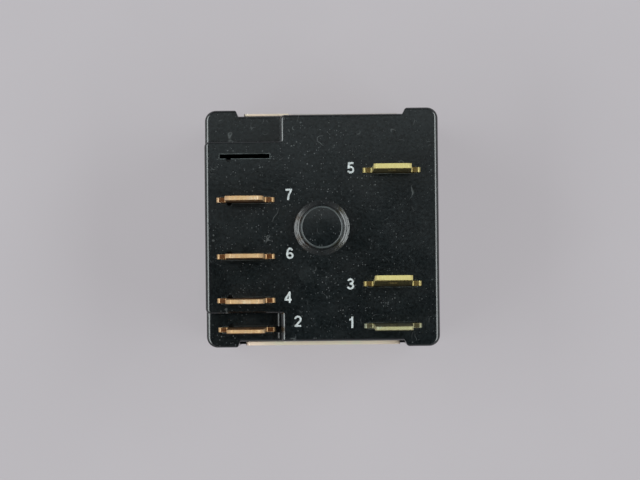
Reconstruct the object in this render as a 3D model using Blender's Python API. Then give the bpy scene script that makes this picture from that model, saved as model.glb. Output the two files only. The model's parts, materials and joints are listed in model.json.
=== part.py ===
"""Plug-in power relay with seven blade terminals.

A moulded base carries the terminals and a cover closes the mechanism: an electromagnet whose
armature pushes two contact blades through a sliding card. The relay rests on its cover with the
terminal face up. The origin is the middle of the resting face, +Z points out of the terminal face,
X runs along the width of the blades and Y across their rows. All lengths are in metres.
"""
import math

import bmesh
import bpy
from mathutils import Vector

MM = 0.001

# Clearances
FIT = 0.1 * MM
SLIDE = 0.2 * MM
SEAM = 0.15 * MM
EMBED = 0.4 * MM
BEYOND = 5.0 * MM

# Facets on round pieces
FINE_STEPS = 32
ROUND_STEPS = 20
SMALL_STEPS = 12
ARC_STEPS = 4
WIRE_ROUNDING = 1
SMOOTH_ANGLE = math.radians(35)
SHARP_EDGE_ANGLE = math.radians(70)

# Housing
BODY_X = 38.4 * MM
BODY_Y = 39.2 * MM
FACE_Z = 34.0 * MM
BASE_HEIGHT = 8.0 * MM
CORNER_RADIUS = 1.8 * MM
EDGE_RADIUS = 0.45 * MM
EDGE_SEGMENTS = 2
LUG_WIDTH = 5.3 * MM
LUG_SLOPE = 0.5 * MM
LUG_RADIUS = 0.5 * MM
CHANNEL_DEPTH = 1.0 * MM
PAD_LENGTH_X = 12.8 * MM
PAD_LENGTH_Y = 5.6 * MM
PAD_DEPTH = 2.8 * MM
PAD_FLOOR = 1.8 * MM
PAD_LEDGE_WIDTH = 1.1 * MM
PAD_LEDGE_HEIGHT = 1.0 * MM
PAD_LEDGE_RADIUS = 0.35 * MM
GROOVE_DEPTH = 0.6 * MM
BOSS_FOOT_RADIUS = 4.55 * MM
BOSS_FOOT_HEIGHT = 0.35 * MM
BOSS_WALL_RADIUS = 3.75 * MM
BOSS_TOP_RADIUS = 3.4 * MM
BOSS_HEIGHT = 3.0 * MM
BOSS_EDGE = 0.25 * MM
BARRIER_THICKNESS = 1.2 * MM
SPIGOT_DEPTH = 2.5 * MM
SPIGOT_WALL = 0.7 * MM
SPIGOT_BACK_WALL = 1.5 * MM
SPIGOT_START_Y = -13.0 * MM
COVER_INSET = 0.1 * MM
COVER_WALL = 1.3 * MM
COVER_ROOF = 1.3 * MM
COVER_EDGE = 0.45 * MM
CAVITY_RADIUS = 1.0 * MM
COVER_RIB_X = 5.0 * MM
COVER_RIB_WIDTH = 1.2 * MM

# Retaining strap
STRAP_THICKNESS = 0.6 * MM
STRAP_SIDE_GAP = 0.2 * MM
STRAP_BEND = 1.1 * MM
STRAP_END_RISE = 4.0 * MM
STRAP_SHOULDER_DROP = 1.5 * MM
TONGUE_WIDTH = 6.7 * MM
CATCH_WIDTH = 3.0 * MM
CATCH_HEIGHT = 1.5 * MM
CATCH_DEPTH = 0.45 * MM
CATCH_RISE = 2.4 * MM

# Blade terminals
LEFT_INSET = 6.7 * MM
RIGHT_INSET = 7.7 * MM
TAB_WIDTH = 6.3 * MM
TAB_THICKNESS = 0.8 * MM
TAB_LENGTH = 9.6 * MM
TAB_CHAMFER = 0.8 * MM
SHORT_CHAMFER = 0.4 * MM
TAB_LEAD_IN = 0.18 * MM
TAB_HOLE_RADIUS = 0.9 * MM
TAB_HOLE_HEIGHT = 5.6 * MM
SHOULDER_WIDTH = 9.5 * MM
SHOULDER_HEIGHT = 0.95 * MM
SHOULDER_RADIUS = 0.35 * MM
SLOT_WIDTH = 8.05 * MM
NOTCH_RADIUS = 0.42 * MM
NOTCH_OFFSET = 1.35 * MM
NOTCH_DEPTH = 1.0 * MM
NECK_DROP = 0.6 * MM
NECK_TAPER = 1.5 * MM
COMMON_ARM_WIDTH = 3.9 * MM
COIL_TAIL_WIDTH = 2.5 * MM
COIL_TAIL_LENGTH = 9.0 * MM

# Rows of the terminals across the face
OUTER_ROW = 11.85 * MM
INNER_ROW = 4.65 * MM
COMMON_ROW = 9.3 * MM
COIL_ROW_LEFT = -16.65 * MM
COIL_ROW_RIGHT = -16.2 * MM

# Contacts
CONTACT_TRAVEL = 1.2 * MM
CONTACT_GAP = 0.1 * MM
CONTACT_RADIUS = 1.7 * MM
CONTACT_EDGE = 0.25 * MM
CONTACT_SEAT_RADIUS = 2.4 * MM
RIVET_SHANK_RADIUS = 0.8 * MM
CLENCH_RADIUS = 1.2 * MM
CLENCH_HEIGHT = 0.5 * MM
MOVING_HALF_HEIGHT = 1.35 * MM
BLADE_THICKNESS = 0.3 * MM
BLADE_WIDTH = 4.5 * MM
BLADE_TIP_WIDTH = 4.0 * MM
BLADE_TAIL = 1.6 * MM
BLADE_TAPER_START = 6.0 * MM
BLADE_SLIT_START = 4.0 * MM
BLADE_SLIT_LENGTH = 7.0 * MM
BLADE_SLIT_WIDTH = 1.2 * MM
BLADE_RISE = 0.8 * MM
ROOT_GAP = 0.15 * MM
ROOT_INSET = 2.1 * MM
ROOT_RIVET_SPREAD = 1.2 * MM
ROOT_RIVET_RADIUS = 0.55 * MM
ROOT_HEAD_RADIUS = 0.95 * MM
ROOT_HEAD_HEIGHT = 0.4 * MM

# Electromagnet
YOKE_WIDTH = 13.0 * MM
YOKE_THICKNESS = 2.0 * MM
YOKE_LENGTH = 27.0 * MM
YOKE_BACK_Y = -15.6 * MM
YOKE_BEND = 1.6 * MM
PRONG_POCKET = 2.6 * MM
PRONG_INNER_X = 2.3 * MM
PRONG_OUTER_X = 5.1 * MM
FINGER_INNER_X = 4.3 * MM
FINGER_OUTER_X = 5.9 * MM
FINGER_LENGTH = 2.2 * MM
BOBBIN_HALF = 7.0 * MM
BOBBIN_CORNER = 1.2 * MM
BOBBIN_FLANGE = 1.0 * MM
BOBBIN_TUBE_RADIUS = 4.1 * MM
GUIDE_WIDTH = 1.2 * MM
GUIDE_LENGTH = 2.8 * MM
CORE_RADIUS = 3.25 * MM
CORE_TAIL_RADIUS = 2.25 * MM
CORE_HEAD_RADIUS = 2.8 * MM
CORE_HEAD_HEIGHT = 0.5 * MM
POLE_RADIUS = 5.5 * MM
POLE_THICKNESS = 1.3 * MM
WINDING_RADIUS = 6.3 * MM
TAPE_THICKNESS = 0.3 * MM
LEAD_RADIUS = 0.2 * MM
KEEPER_THICKNESS = 0.25 * MM
KEEPER_WIDTH = 5.6 * MM
KEEPER_START_Y = 1.5 * MM
KEEPER_RISE = 4.2 * MM
KEEPER_BEND = 0.55 * MM
KEEPER_RIVET_X = 1.6 * MM
KEEPER_RIVET_Y = 4.0 * MM
KEEPER_RIVET_RADIUS = 0.6 * MM
KEEPER_HEAD_RADIUS = 1.0 * MM
KEEPER_HEAD_HEIGHT = 0.45 * MM

# Armature and card
ARMATURE_ANGLE = math.radians(3.4)
ARMATURE_WIDTH = 14.0 * MM
ARMATURE_THICKNESS = 1.6 * MM
ARMATURE_MARGIN = 1.0 * MM
ARMATURE_CORNER = 1.2 * MM
TONGUE_HALF = 2.4 * MM
TONGUE_OVER = 0.2 * MM
CARD_THICKNESS = 1.4 * MM
CARD_SPINE = 6.0 * MM
CARD_END_MARGIN = 1.0 * MM
CARD_CORNER = 0.4 * MM
PUSHER_WIDTH = 1.6 * MM
PUSHER_WALL = 1.1 * MM
PUSHER_SIDE_GAP = 1.2 * MM
PUSHER_CLEARANCE = 0.15 * MM
PUSHER_HEIGHT = 5.4 * MM
SPRING_RADIUS = 1.3 * MM
SPRING_WIRE_RADIUS = 0.15 * MM
SPRING_TURNS = 4
SPRING_POINTS = 9
SPRING_SEAT_THICKNESS = 1.2 * MM
SPRING_SEAT_WIDTH = 4.0 * MM
SPRING_LENGTH = 3.2 * MM
SPRING_PIN_RADIUS = 0.8 * MM
SPRING_PIN_LENGTH = 1.2 * MM

# Places that follow from the sizes above
HALF_X = BODY_X / 2
HALF_Y = BODY_Y / 2
CHANNEL_Y = HALF_Y - CHANNEL_DEPTH
LUG_X = HALF_X - LUG_WIDTH
RIM_Z = FACE_Z - BASE_HEIGHT
PAD_Z = FACE_Z - PAD_DEPTH
FLOOR_Z = PAD_Z - PAD_FLOOR
PAD_EDGE_X = PAD_LENGTH_X - HALF_X
PAD_EDGE_Y = HALF_Y - PAD_LENGTH_Y
COVER_INNER_X = HALF_X - COVER_INSET - COVER_WALL
COVER_INNER_Y = CHANNEL_Y - COVER_INSET - COVER_WALL
ROOF_Z = CHANNEL_DEPTH + COVER_ROOF
BASE_INNER_X = COVER_INNER_X - FIT - SPIGOT_WALL
BASE_INNER_Y = COVER_INNER_Y - FIT - SPIGOT_BACK_WALL
STRAP_HALF = LUG_X - LUG_SLOPE - STRAP_SIDE_GAP
STRAP_INNER_Y = CHANNEL_Y + FIT
STRAP_END_Z = RIM_Z + STRAP_END_RISE
STRAP_SHOULDER_Z = RIM_Z - STRAP_SHOULDER_DROP
CATCH_TOP_Z = RIM_Z + CATCH_RISE
TONGUE_CENTRE_X = TONGUE_WIDTH / 2 - STRAP_HALF
LEFT_X = LEFT_INSET - HALF_X
RIGHT_X = HALF_X - RIGHT_INSET
SLOT_HEIGHT = TAB_THICKNESS + 2 * FIT
SHANK_HALF = SLOT_WIDTH / 2 - FIT
NECK_Z = FLOOR_Z - NECK_DROP
KEEPER_Z = ROOF_Z + SLIDE + KEEPER_HEAD_HEIGHT + FIT
YOKE_Z = KEEPER_Z + KEEPER_THICKNESS + FIT
COIL_Z = YOKE_Z + YOKE_THICKNESS + FIT + BOBBIN_HALF
YOKE_INNER_Y = YOKE_BACK_Y + YOKE_THICKNESS
POLE_Y = YOKE_BACK_Y + YOKE_LENGTH
BOBBIN_BACK_Y = YOKE_INNER_Y + SLIDE
BOBBIN_FRONT_Y = POLE_Y - POLE_THICKNESS - FIT
FLANGE_TOP_Z = COIL_Z + BOBBIN_HALF
CARD_Z = FLANGE_TOP_Z + SLIDE
CARD_TOP_Z = CARD_Z + CARD_THICKNESS
BLADE_Z = CARD_TOP_Z + BLADE_RISE + BLADE_WIDTH / 2
ROOT_X = RIGHT_X - ROOT_INSET
CONTACT_LEVER = ROOT_X - LEFT_X
CARD_LEVER = CARD_Z + CARD_THICKNESS / 2 - YOKE_Z
CARD_TRAVEL = CARD_LEVER * ARMATURE_ANGLE
PUSHER_X = LEFT_X + SHANK_HALF + PUSHER_SIDE_GAP + PUSHER_WIDTH / 2
PUSHER_LEVER = ROOT_X - PUSHER_X
ROOT_OFFSET = TAB_THICKNESS / 2 + ROOT_GAP + BLADE_THICKNESS / 2
CONTACT_SPACING = OUTER_ROW - INNER_ROW
FIXED_HEAD = (CONTACT_SPACING - TAB_THICKNESS - CONTACT_TRAVEL) / 2 - MOVING_HALF_HEIGHT - CONTACT_GAP
SPRING_Z = CARD_TOP_Z + SLIDE + SPRING_RADIUS + SPRING_WIRE_RADIUS
SPRING_SEAT_Y = YOKE_INNER_Y + SPRING_LENGTH + 2 * FIT
CARD_BACK_Y = YOKE_INNER_Y + CARD_TRAVEL + SLIDE

# Terminal number: column, row, height of the seat, how far the tip leans out of upright, kind
TERMINALS = {
    1: (RIGHT_X, COIL_ROW_RIGHT, FACE_Z, -0.3 * MM, "coil"),
    2: (LEFT_X, COIL_ROW_LEFT, PAD_Z, 0.0, "coil"),
    3: (RIGHT_X, -COMMON_ROW, FACE_Z, 0.9 * MM, "common"),
    4: (LEFT_X, -OUTER_ROW, FACE_Z, 0.0, "contact"),
    5: (RIGHT_X, COMMON_ROW, FACE_Z, 0.25 * MM, "common"),
    6: (LEFT_X, -INNER_ROW, FACE_Z, 0.0, "contact"),
    7: (LEFT_X, INNER_ROW, FACE_Z, 0.0, "contact"),
}
EMPTY_SLOT = (LEFT_X, OUTER_ROW)

# Common terminal: side of it that faces the middle, and the row half way between its two contacts
POLES = {
    3: (1, -(OUTER_ROW + INNER_ROW) / 2),
    5: (-1, (OUTER_ROW + INNER_ROW) / 2),
}
TWO_WAY_POLE = 3


def clear_scene():
    for old in list(bpy.data.objects):
        bpy.data.objects.remove(old, do_unlink=True)


def material(name, colour, roughness, metallic):
    made = bpy.data.materials.new(name)
    made.use_nodes = True
    shader = made.node_tree.nodes["Principled BSDF"]
    shader.inputs["Base Color"].default_value = (*colour, 1.0)
    shader.inputs["Roughness"].default_value = roughness
    shader.inputs["Metallic"].default_value = metallic
    return made


# Outlines and meshes

def rounded(corners, steps=ARC_STEPS):
    """Outline through corners given as x, y and radius, each radius drawn as an arc."""
    outline = []
    for index, (x, y, radius) in enumerate(corners):
        corner = Vector((x, y))
        if radius <= 0:
            outline.append(corner)
            continue
        back = (Vector(corners[index - 1][:2]) - corner).normalized()
        ahead = (Vector(corners[(index + 1) % len(corners)][:2]) - corner).normalized()
        half_angle = back.angle(ahead) / 2
        centre = corner + (back + ahead).normalized() * (radius / math.sin(half_angle))
        first = corner + back * (radius / math.tan(half_angle)) - centre
        last = corner + ahead * (radius / math.tan(half_angle)) - centre
        sweep = first.angle_signed(last)
        for step in range(steps + 1):
            turn = -sweep * step / steps
            outline.append(centre + Vector((
                first.x * math.cos(turn) - first.y * math.sin(turn),
                first.x * math.sin(turn) + first.y * math.cos(turn),
            )))
    return outline


def along_axis(axis, u, v, distance):
    """Point with two coordinates across an axis and one along it."""
    if axis == "X":
        return Vector((distance, u, v))
    if axis == "Y":
        return Vector((u, distance, v))
    return Vector((u, v, distance))


def prism(outline, start, end, axis="Z"):
    """Closed prism of an outline, swept along an axis from start to end."""
    mesh = bmesh.new()
    low = [mesh.verts.new(along_axis(axis, u, v, start)) for u, v in outline]
    high = [mesh.verts.new(along_axis(axis, u, v, end)) for u, v in outline]
    mesh.faces.new(low)
    mesh.faces.new(high)
    for index in range(len(outline)):
        ahead = (index + 1) % len(outline)
        mesh.faces.new((low[index], low[ahead], high[ahead], high[index]))
    bmesh.ops.recalc_face_normals(mesh, faces=mesh.faces)
    return mesh


def box(x_range, y_range, z_range):
    corners = [
        (x_range[0], y_range[0]),
        (x_range[1], y_range[0]),
        (x_range[1], y_range[1]),
        (x_range[0], y_range[1]),
    ]
    return prism(corners, *z_range)


def turned(profile, axis="Z", centre=(0.0, 0.0, 0.0), steps=ROUND_STEPS):
    """Solid turned about an axis from points given as radius and distance along the axis.

    A profile that starts and ends on the axis gives a solid piece, and any other gives a ring.
    """
    mesh = bmesh.new()
    rings = []
    for radius, distance in profile:
        count = steps if radius > 0 else 1
        ring = []
        for index in range(count):
            angle = 2 * math.pi * index / steps
            across = (radius * math.cos(angle), radius * math.sin(angle))
            ring.append(mesh.verts.new(Vector(centre) + along_axis(axis, *across, distance)))
        rings.append(ring)
    solid = profile[0][0] == 0
    for index in range(len(rings) - 1 if solid else len(rings)):
        near, far = rings[index], rings[(index + 1) % len(rings)]
        for step in range(steps):
            ahead = (step + 1) % steps
            near_pair = [near[step % len(near)], near[ahead % len(near)]]
            far_pair = [far[ahead % len(far)], far[step % len(far)]]
            mesh.faces.new(list(dict.fromkeys(near_pair + far_pair)))
    bmesh.ops.recalc_face_normals(mesh, faces=mesh.faces)
    return mesh


def rod(radius, start, end, axis="Z", centre=(0.0, 0.0, 0.0), steps=ROUND_STEPS):
    return turned([(0, start), (radius, start), (radius, end), (0, end)], axis, centre, steps)


def ring(inner_radius, outer_radius, start, end, axis, centre, steps=ROUND_STEPS):
    profile = [(inner_radius, start), (outer_radius, start), (outer_radius, end), (inner_radius, end)]
    return turned(profile, axis, centre, steps)


# Objects

def solid(name, mesh_data, finish):
    """New object from a bmesh, in the colour of its finish."""
    mesh = bpy.data.meshes.new(name)
    mesh_data.to_mesh(mesh)
    mesh_data.free()
    made = bpy.data.objects.new(name, mesh)
    bpy.context.collection.objects.link(made)
    if finish:
        mesh.materials.append(finish)
    return made


def apply_modifiers(body):
    graph = bpy.context.evaluated_depsgraph_get()
    shaped = bpy.data.meshes.new_from_object(body.evaluated_get(graph))
    body.modifiers.clear()
    body.data = shaped


def combine(body, tool_mesh, operation):
    """Cut a tool from a body, or join it on."""
    tool = solid("tool", tool_mesh, None)
    boolean = body.modifiers.new(operation, "BOOLEAN")
    boolean.solver = "EXACT"
    boolean.operation = operation
    boolean.object = tool
    apply_modifiers(body)
    bpy.data.objects.remove(tool, do_unlink=True)


def cut(body, tool_mesh):
    combine(body, tool_mesh, "DIFFERENCE")


def join(body, tool_mesh):
    combine(body, tool_mesh, "UNION")


def round_edges(body, radius, segments=EDGE_SEGMENTS):
    bevel = body.modifiers.new("edges", "BEVEL")
    bevel.width = radius
    bevel.segments = segments
    bevel.limit_method = "ANGLE"
    bevel.angle_limit = SHARP_EDGE_ANGLE
    apply_modifiers(body)


def shade(body):
    body.data.shade_smooth()
    body.data.set_sharp_from_angle(angle=SMOOTH_ANGLE)
    return body


def smooth_path(points, steps):
    """Catmull-Rom curve through the points, with a number of steps in each stretch."""
    knots = [Vector(point) for point in points]
    ends = [2 * knots[0] - knots[1]] + knots + [2 * knots[-1] - knots[-2]]
    path = []
    for before, start, end, after in zip(ends, ends[1:], ends[2:], ends[3:]):
        for step in range(steps):
            t = step / steps
            path.append(0.5 * (
                2 * start + (end - before) * t
                + (2 * before - 5 * start + 4 * end - after) * t ** 2
                + (3 * start - before - 3 * end + after) * t ** 3
            ))
    return path + [knots[-1]]


def tube(name, path, radius, finish):
    curve = bpy.data.curves.new(name, "CURVE")
    curve.dimensions = "3D"
    curve.bevel_depth = radius
    curve.bevel_resolution = WIRE_ROUNDING
    curve.use_fill_caps = True
    spline = curve.splines.new("POLY")
    spline.points.add(len(path) - 1)
    for point, place in zip(spline.points, path):
        point.co = (*place, 1.0)
    curve.materials.append(finish)
    made = bpy.data.objects.new(name, curve)
    bpy.context.collection.objects.link(made)
    return made


# Housing

def housing_outline(inset):
    """Plan of the housing: a rounded rectangle with a strap channel between the corner lugs."""
    x = HALF_X - inset
    y = HALF_Y - inset
    channel = CHANNEL_Y - inset
    quarter = [
        (x, y, CORNER_RADIUS),
        (LUG_X, y, LUG_RADIUS),
        (LUG_X - LUG_SLOPE, channel, 0),
    ]
    corners = []
    for x_side, y_side in ((1, 1), (-1, 1), (-1, -1), (1, -1)):
        turn = quarter if x_side == y_side else quarter[::-1]
        corners += [(px * x_side, py * y_side, radius) for px, py, radius in turn]
    return rounded(corners)


def rectangle(half_x, low_y, high_y, radius):
    return rounded([
        (half_x, low_y, radius),
        (half_x, high_y, radius),
        (-half_x, high_y, radius),
        (-half_x, low_y, radius),
    ])


def base(plastic):
    body = solid("base", prism(housing_outline(0), RIM_Z, FACE_Z), plastic)
    low_pads(body)
    round_edges(body, EDGE_RADIUS)
    pad_ledge(body)
    spigot_outline = rectangle(COVER_INNER_X - FIT, SPIGOT_START_Y, COVER_INNER_Y - FIT, CAVITY_RADIUS)
    join(body, prism(spigot_outline, RIM_Z - SPIGOT_DEPTH, RIM_Z + EMBED))
    inner_outline = rectangle(BASE_INNER_X, -COVER_INNER_Y, BASE_INNER_Y, CAVITY_RADIUS / 2)
    cut(body, prism(inner_outline, RIM_Z - BEYOND, FLOOR_Z))
    barrier_x = BASE_INNER_X + SPIGOT_WALL / 2
    barrier_y = BARRIER_THICKNESS / 2
    barrier_z = (CARD_TOP_Z + SLIDE, FLOOR_Z + EMBED)
    join(body, box((-barrier_x, barrier_x), (-barrier_y, barrier_y), barrier_z))
    for column, row, seat, _, _ in TERMINALS.values():
        terminal_slot(body, column, row, seat)
    terminal_slot(body, *EMPTY_SLOT, FACE_Z)
    yoke_pockets(body)
    strap_catches(body)
    centre_boss(body)
    return shade(body)


def low_pads(body):
    """Two pads at the left corners lie lower than the rest of the face."""
    for y_range in ((PAD_EDGE_Y, HALF_Y + BEYOND), (-HALF_Y - BEYOND, -PAD_EDGE_Y)):
        cut(body, box((-HALF_X - BEYOND, PAD_EDGE_X), y_range, (PAD_Z, FACE_Z + BEYOND)))


def pad_ledge(body):
    """Ledge along the wall of the pad that carries terminal 2, with a groove in line with its slot."""
    edge = PAD_EDGE_X - PAD_LEDGE_WIDTH
    top = PAD_Z + PAD_LEDGE_HEIGHT
    outline = rounded([
        (edge, PAD_Z - EMBED, 0),
        (PAD_EDGE_X + EMBED, PAD_Z - EMBED, 0),
        (PAD_EDGE_X + EMBED, top, 0),
        (edge, top, PAD_LEDGE_RADIUS),
    ])
    join(body, prism(outline, EDGE_RADIUS - CHANNEL_Y, EMBED - PAD_EDGE_Y, "Y"))
    groove_y = (COIL_ROW_LEFT - SLOT_HEIGHT / 2, COIL_ROW_LEFT + SLOT_HEIGHT / 2)
    cut(body, box((edge - FIT, PAD_EDGE_X), groove_y, (PAD_Z - GROOVE_DEPTH, top + BEYOND)))


def terminal_slot(body, column, row, seat):
    x_range = (column - SLOT_WIDTH / 2, column + SLOT_WIDTH / 2)
    y_range = (row - SLOT_HEIGHT / 2, row + SLOT_HEIGHT / 2)
    cut(body, box(x_range, y_range, (FLOOR_Z - BEYOND, FACE_Z + BEYOND)))
    if column == LEFT_X:
        towards_middle = -1 if row > 0 else 1
        centre = (x_range[0] + NOTCH_OFFSET, row + towards_middle * SLOT_HEIGHT / 2, 0.0)
        cut(body, rod(NOTCH_RADIUS, seat - NOTCH_DEPTH, FACE_Z + BEYOND, "Z", centre, SMALL_STEPS))


def yoke_pockets(body):
    y_range = (YOKE_BACK_Y - FIT, YOKE_INNER_Y + FIT)
    for side in (-1, 1):
        edges = sorted((side * (PRONG_INNER_X - FIT), side * (PRONG_OUTER_X + FIT)))
        cut(body, box(edges, y_range, (FLOOR_Z - EMBED, FLOOR_Z + PRONG_POCKET)))


def strap_catches(body):
    """A wedge in each channel, which a window in the strap snaps over."""
    for side, centre_x in ((-1, 0.0), (1, TONGUE_CENTRE_X)):
        wedge = [
            (side * (CHANNEL_Y - EMBED), CATCH_TOP_Z - CATCH_HEIGHT),
            (side * CHANNEL_Y, CATCH_TOP_Z - CATCH_HEIGHT),
            (side * (CHANNEL_Y + CATCH_DEPTH), CATCH_TOP_Z),
            (side * (CHANNEL_Y - EMBED), CATCH_TOP_Z),
        ]
        join(body, prism(wedge, centre_x - CATCH_WIDTH / 2, centre_x + CATCH_WIDTH / 2, "X"))


def centre_boss(body):
    profile = [
        (0, FACE_Z - EMBED),
        (BOSS_FOOT_RADIUS, FACE_Z - EMBED),
        (BOSS_FOOT_RADIUS, FACE_Z),
        (BOSS_WALL_RADIUS, FACE_Z + BOSS_FOOT_HEIGHT),
        (BOSS_TOP_RADIUS, FACE_Z + BOSS_HEIGHT - BOSS_EDGE),
        (BOSS_TOP_RADIUS - BOSS_EDGE, FACE_Z + BOSS_HEIGHT),
        (0, FACE_Z + BOSS_HEIGHT),
    ]
    join(body, turned(profile, steps=FINE_STEPS))


def cover(plastic):
    body = solid("cover", prism(housing_outline(COVER_INSET), 0, RIM_Z - SEAM), plastic)
    round_edges(body, COVER_EDGE)
    hollow = rectangle(COVER_INNER_X, -COVER_INNER_Y, COVER_INNER_Y, CAVITY_RADIUS)
    cut(body, prism(hollow, ROOF_Z, RIM_Z + BEYOND))
    bend = STRAP_BEND - FIT - COVER_INSET
    shoulder_y = CHANNEL_Y - COVER_INSET
    far = HALF_Y + BEYOND
    roof_channel = rounded([
        (-far, -BEYOND, 0),
        (far, -BEYOND, 0),
        (far, CHANNEL_DEPTH + bend, 0),
        (shoulder_y, CHANNEL_DEPTH + bend, 0),
        (shoulder_y, CHANNEL_DEPTH, bend),
        (-shoulder_y, CHANNEL_DEPTH, bend),
        (-shoulder_y, CHANNEL_DEPTH + bend, 0),
        (-far, CHANNEL_DEPTH + bend, 0),
    ])
    cut(body, prism(roof_channel, -LUG_X, LUG_X, "X"))
    for side in (-1, 1):
        centre = side * COVER_RIB_X
        rib_x = (centre - COVER_RIB_WIDTH / 2, centre + COVER_RIB_WIDTH / 2)
        rib_y = (YOKE_INNER_Y, POLE_Y - POLE_THICKNESS)
        join(body, box(rib_x, rib_y, (ROOF_Z - EMBED, YOKE_Z - FIT)))
    return shade(body)


def retaining_strap(metal):
    """U-shaped strap over the cover, whose legs snap over the catches on the base."""
    inner_y = STRAP_INNER_Y
    outer_y = inner_y + STRAP_THICKNESS
    inner_z = CHANNEL_DEPTH - FIT
    outer_z = inner_z - STRAP_THICKNESS
    outer_bend = STRAP_BEND + STRAP_THICKNESS
    profile = rounded([
        (-outer_y, STRAP_END_Z, 0),
        (-outer_y, outer_z, outer_bend),
        (outer_y, outer_z, outer_bend),
        (outer_y, STRAP_END_Z, 0),
        (inner_y, STRAP_END_Z, 0),
        (inner_y, inner_z, STRAP_BEND),
        (-inner_y, inner_z, STRAP_BEND),
        (-inner_y, STRAP_END_Z, 0),
    ])
    body = solid("retaining_strap", prism(profile, -STRAP_HALF, STRAP_HALF, "X"), metal)
    back_leg = (CHANNEL_Y - EMBED, HALF_Y + BEYOND)
    above = STRAP_END_Z + BEYOND
    tongue_edge = TONGUE_WIDTH - STRAP_HALF
    cut(body, box((tongue_edge, STRAP_HALF + BEYOND), back_leg, (STRAP_SHOULDER_Z, above)))
    window_z = (CATCH_TOP_Z - CATCH_HEIGHT - 2 * FIT, CATCH_TOP_Z + FIT)
    half_window = CATCH_WIDTH / 2 + 2 * FIT
    for side, centre_x in ((-1, 0.0), (1, TONGUE_CENTRE_X)):
        leg = sorted((side * back_leg[0], side * back_leg[1]))
        cut(body, box((centre_x - half_window, centre_x + half_window), leg, window_z))
    return shade(body)


# Terminals

def terminal_inside(kind, column):
    """Lower edge of a terminal inside the housing, from its left side to its right."""
    seat = CONTACT_SEAT_RADIUS
    taper_z = NECK_Z - NECK_TAPER
    if kind == "contact":
        return [
            (-SHANK_HALF, NECK_Z, 0),
            (-seat, taper_z, 0),
            (-seat, BLADE_Z - seat, seat),
            (seat, BLADE_Z - seat, seat),
            (seat, taper_z, 0),
            (SHANK_HALF, NECK_Z, 0),
        ]
    if kind == "common":
        low = BLADE_Z - BLADE_WIDTH / 2
        arm = COMMON_ARM_WIDTH - SHANK_HALF
        return [
            (-SHANK_HALF, low, TAB_CHAMFER),
            (arm, low, TAB_CHAMFER),
            (arm, taper_z, 0),
            (SHANK_HALF, NECK_Z, 0),
        ]
    low = NECK_Z - COIL_TAIL_LENGTH
    tail = SHANK_HALF - COIL_TAIL_WIDTH
    if column < 0:
        return [(-SHANK_HALF, NECK_Z, 0), (tail, NECK_Z, 0), (tail, low, 0), (SHANK_HALF, low, 0)]
    return [(-SHANK_HALF, low, 0), (-tail, low, 0), (-tail, NECK_Z, 0), (SHANK_HALF, NECK_Z, 0)]


def terminal(number, metal):
    column, row, seat, lean, kind = TERMINALS[number]
    tip = seat + TAB_LENGTH
    ledge = seat + SHOULDER_HEIGHT
    bend = ledge + SHOULDER_RADIUS
    half = TAB_WIDTH / 2
    wide = SHOULDER_WIDTH / 2
    chamfer = TAB_CHAMFER if column < 0 else SHORT_CHAMFER
    right_side = [
        (SHANK_HALF, seat + FIT, 0),
        (wide, seat + FIT, 0),
        (wide, ledge, SHOULDER_RADIUS),
        (half, ledge, SHOULDER_RADIUS),
        (half, tip - chamfer, 0),
        (half - chamfer, tip, 0),
    ]
    left_side = [(-x, z, radius) for x, z, radius in reversed(right_side)]
    outline = rounded(terminal_inside(kind, column) + right_side + left_side)
    placed = [(column + x, z) for x, z in outline]
    mesh = prism(placed, row - TAB_THICKNESS / 2, row + TAB_THICKNESS / 2, "Y")
    chamfer_lead_in(mesh, tip - chamfer - FIT)
    bend_blade(mesh, bend, lean / (tip - bend))
    body = solid(f"terminal_{number}", mesh, metal)
    drill(body, TAB_HOLE_RADIUS, column, row, seat + TAB_HOLE_HEIGHT)
    if kind == "contact":
        drill(body, RIVET_SHANK_RADIUS + FIT, column, row, BLADE_Z)
    if kind == "common":
        for spread in (-ROOT_RIVET_SPREAD, ROOT_RIVET_SPREAD):
            drill(body, ROOT_RIVET_RADIUS + FIT, ROOT_X, row, BLADE_Z + spread)
    return shade(body)


def chamfer_lead_in(mesh, low):
    """Bevel the edges of the blade's tip above a height, so that a receptacle slides on."""
    edges = [
        edge for edge in mesh.edges
        if min(vert.co.z for vert in edge.verts) > low
        and abs(edge.verts[0].co.y - edge.verts[1].co.y) < TAB_LEAD_IN
    ]
    bmesh.ops.bevel(mesh, geom=edges, offset=TAB_LEAD_IN, segments=1, affect="EDGES")


def bend_blade(mesh, bend, slope):
    """Lean the blade out of upright, from a bend line just above its shoulders."""
    parts = [*mesh.verts, *mesh.edges, *mesh.faces]
    bmesh.ops.bisect_plane(mesh, geom=parts, plane_co=(0, 0, bend), plane_no=(0, 0, 1))
    for vert in mesh.verts:
        vert.co.y += slope * max(0.0, vert.co.z - bend)


def drill(body, radius, x, y, z):
    depth = TAB_THICKNESS + BLADE_THICKNESS + BEYOND
    cut(body, rod(radius, -depth, depth, "Y", (x, y, z), SMALL_STEPS))


# Contacts

def rivet_profile(low, low_face, high_face, high, low_radius, high_radius, shank, edge):
    """Turned rivet: a head below low_face, a shank, and a head above high_face."""
    return [
        (0, low),
        (low_radius - edge, low),
        (low_radius, low + edge),
        (low_radius, low_face),
        (shank, low_face),
        (shank, high_face),
        (high_radius, high_face),
        (high_radius, high - edge),
        (high_radius - edge, high),
        (0, high),
    ]


def mirrored(profile, side):
    return [(radius, side * distance) for radius, distance in profile]


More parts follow.
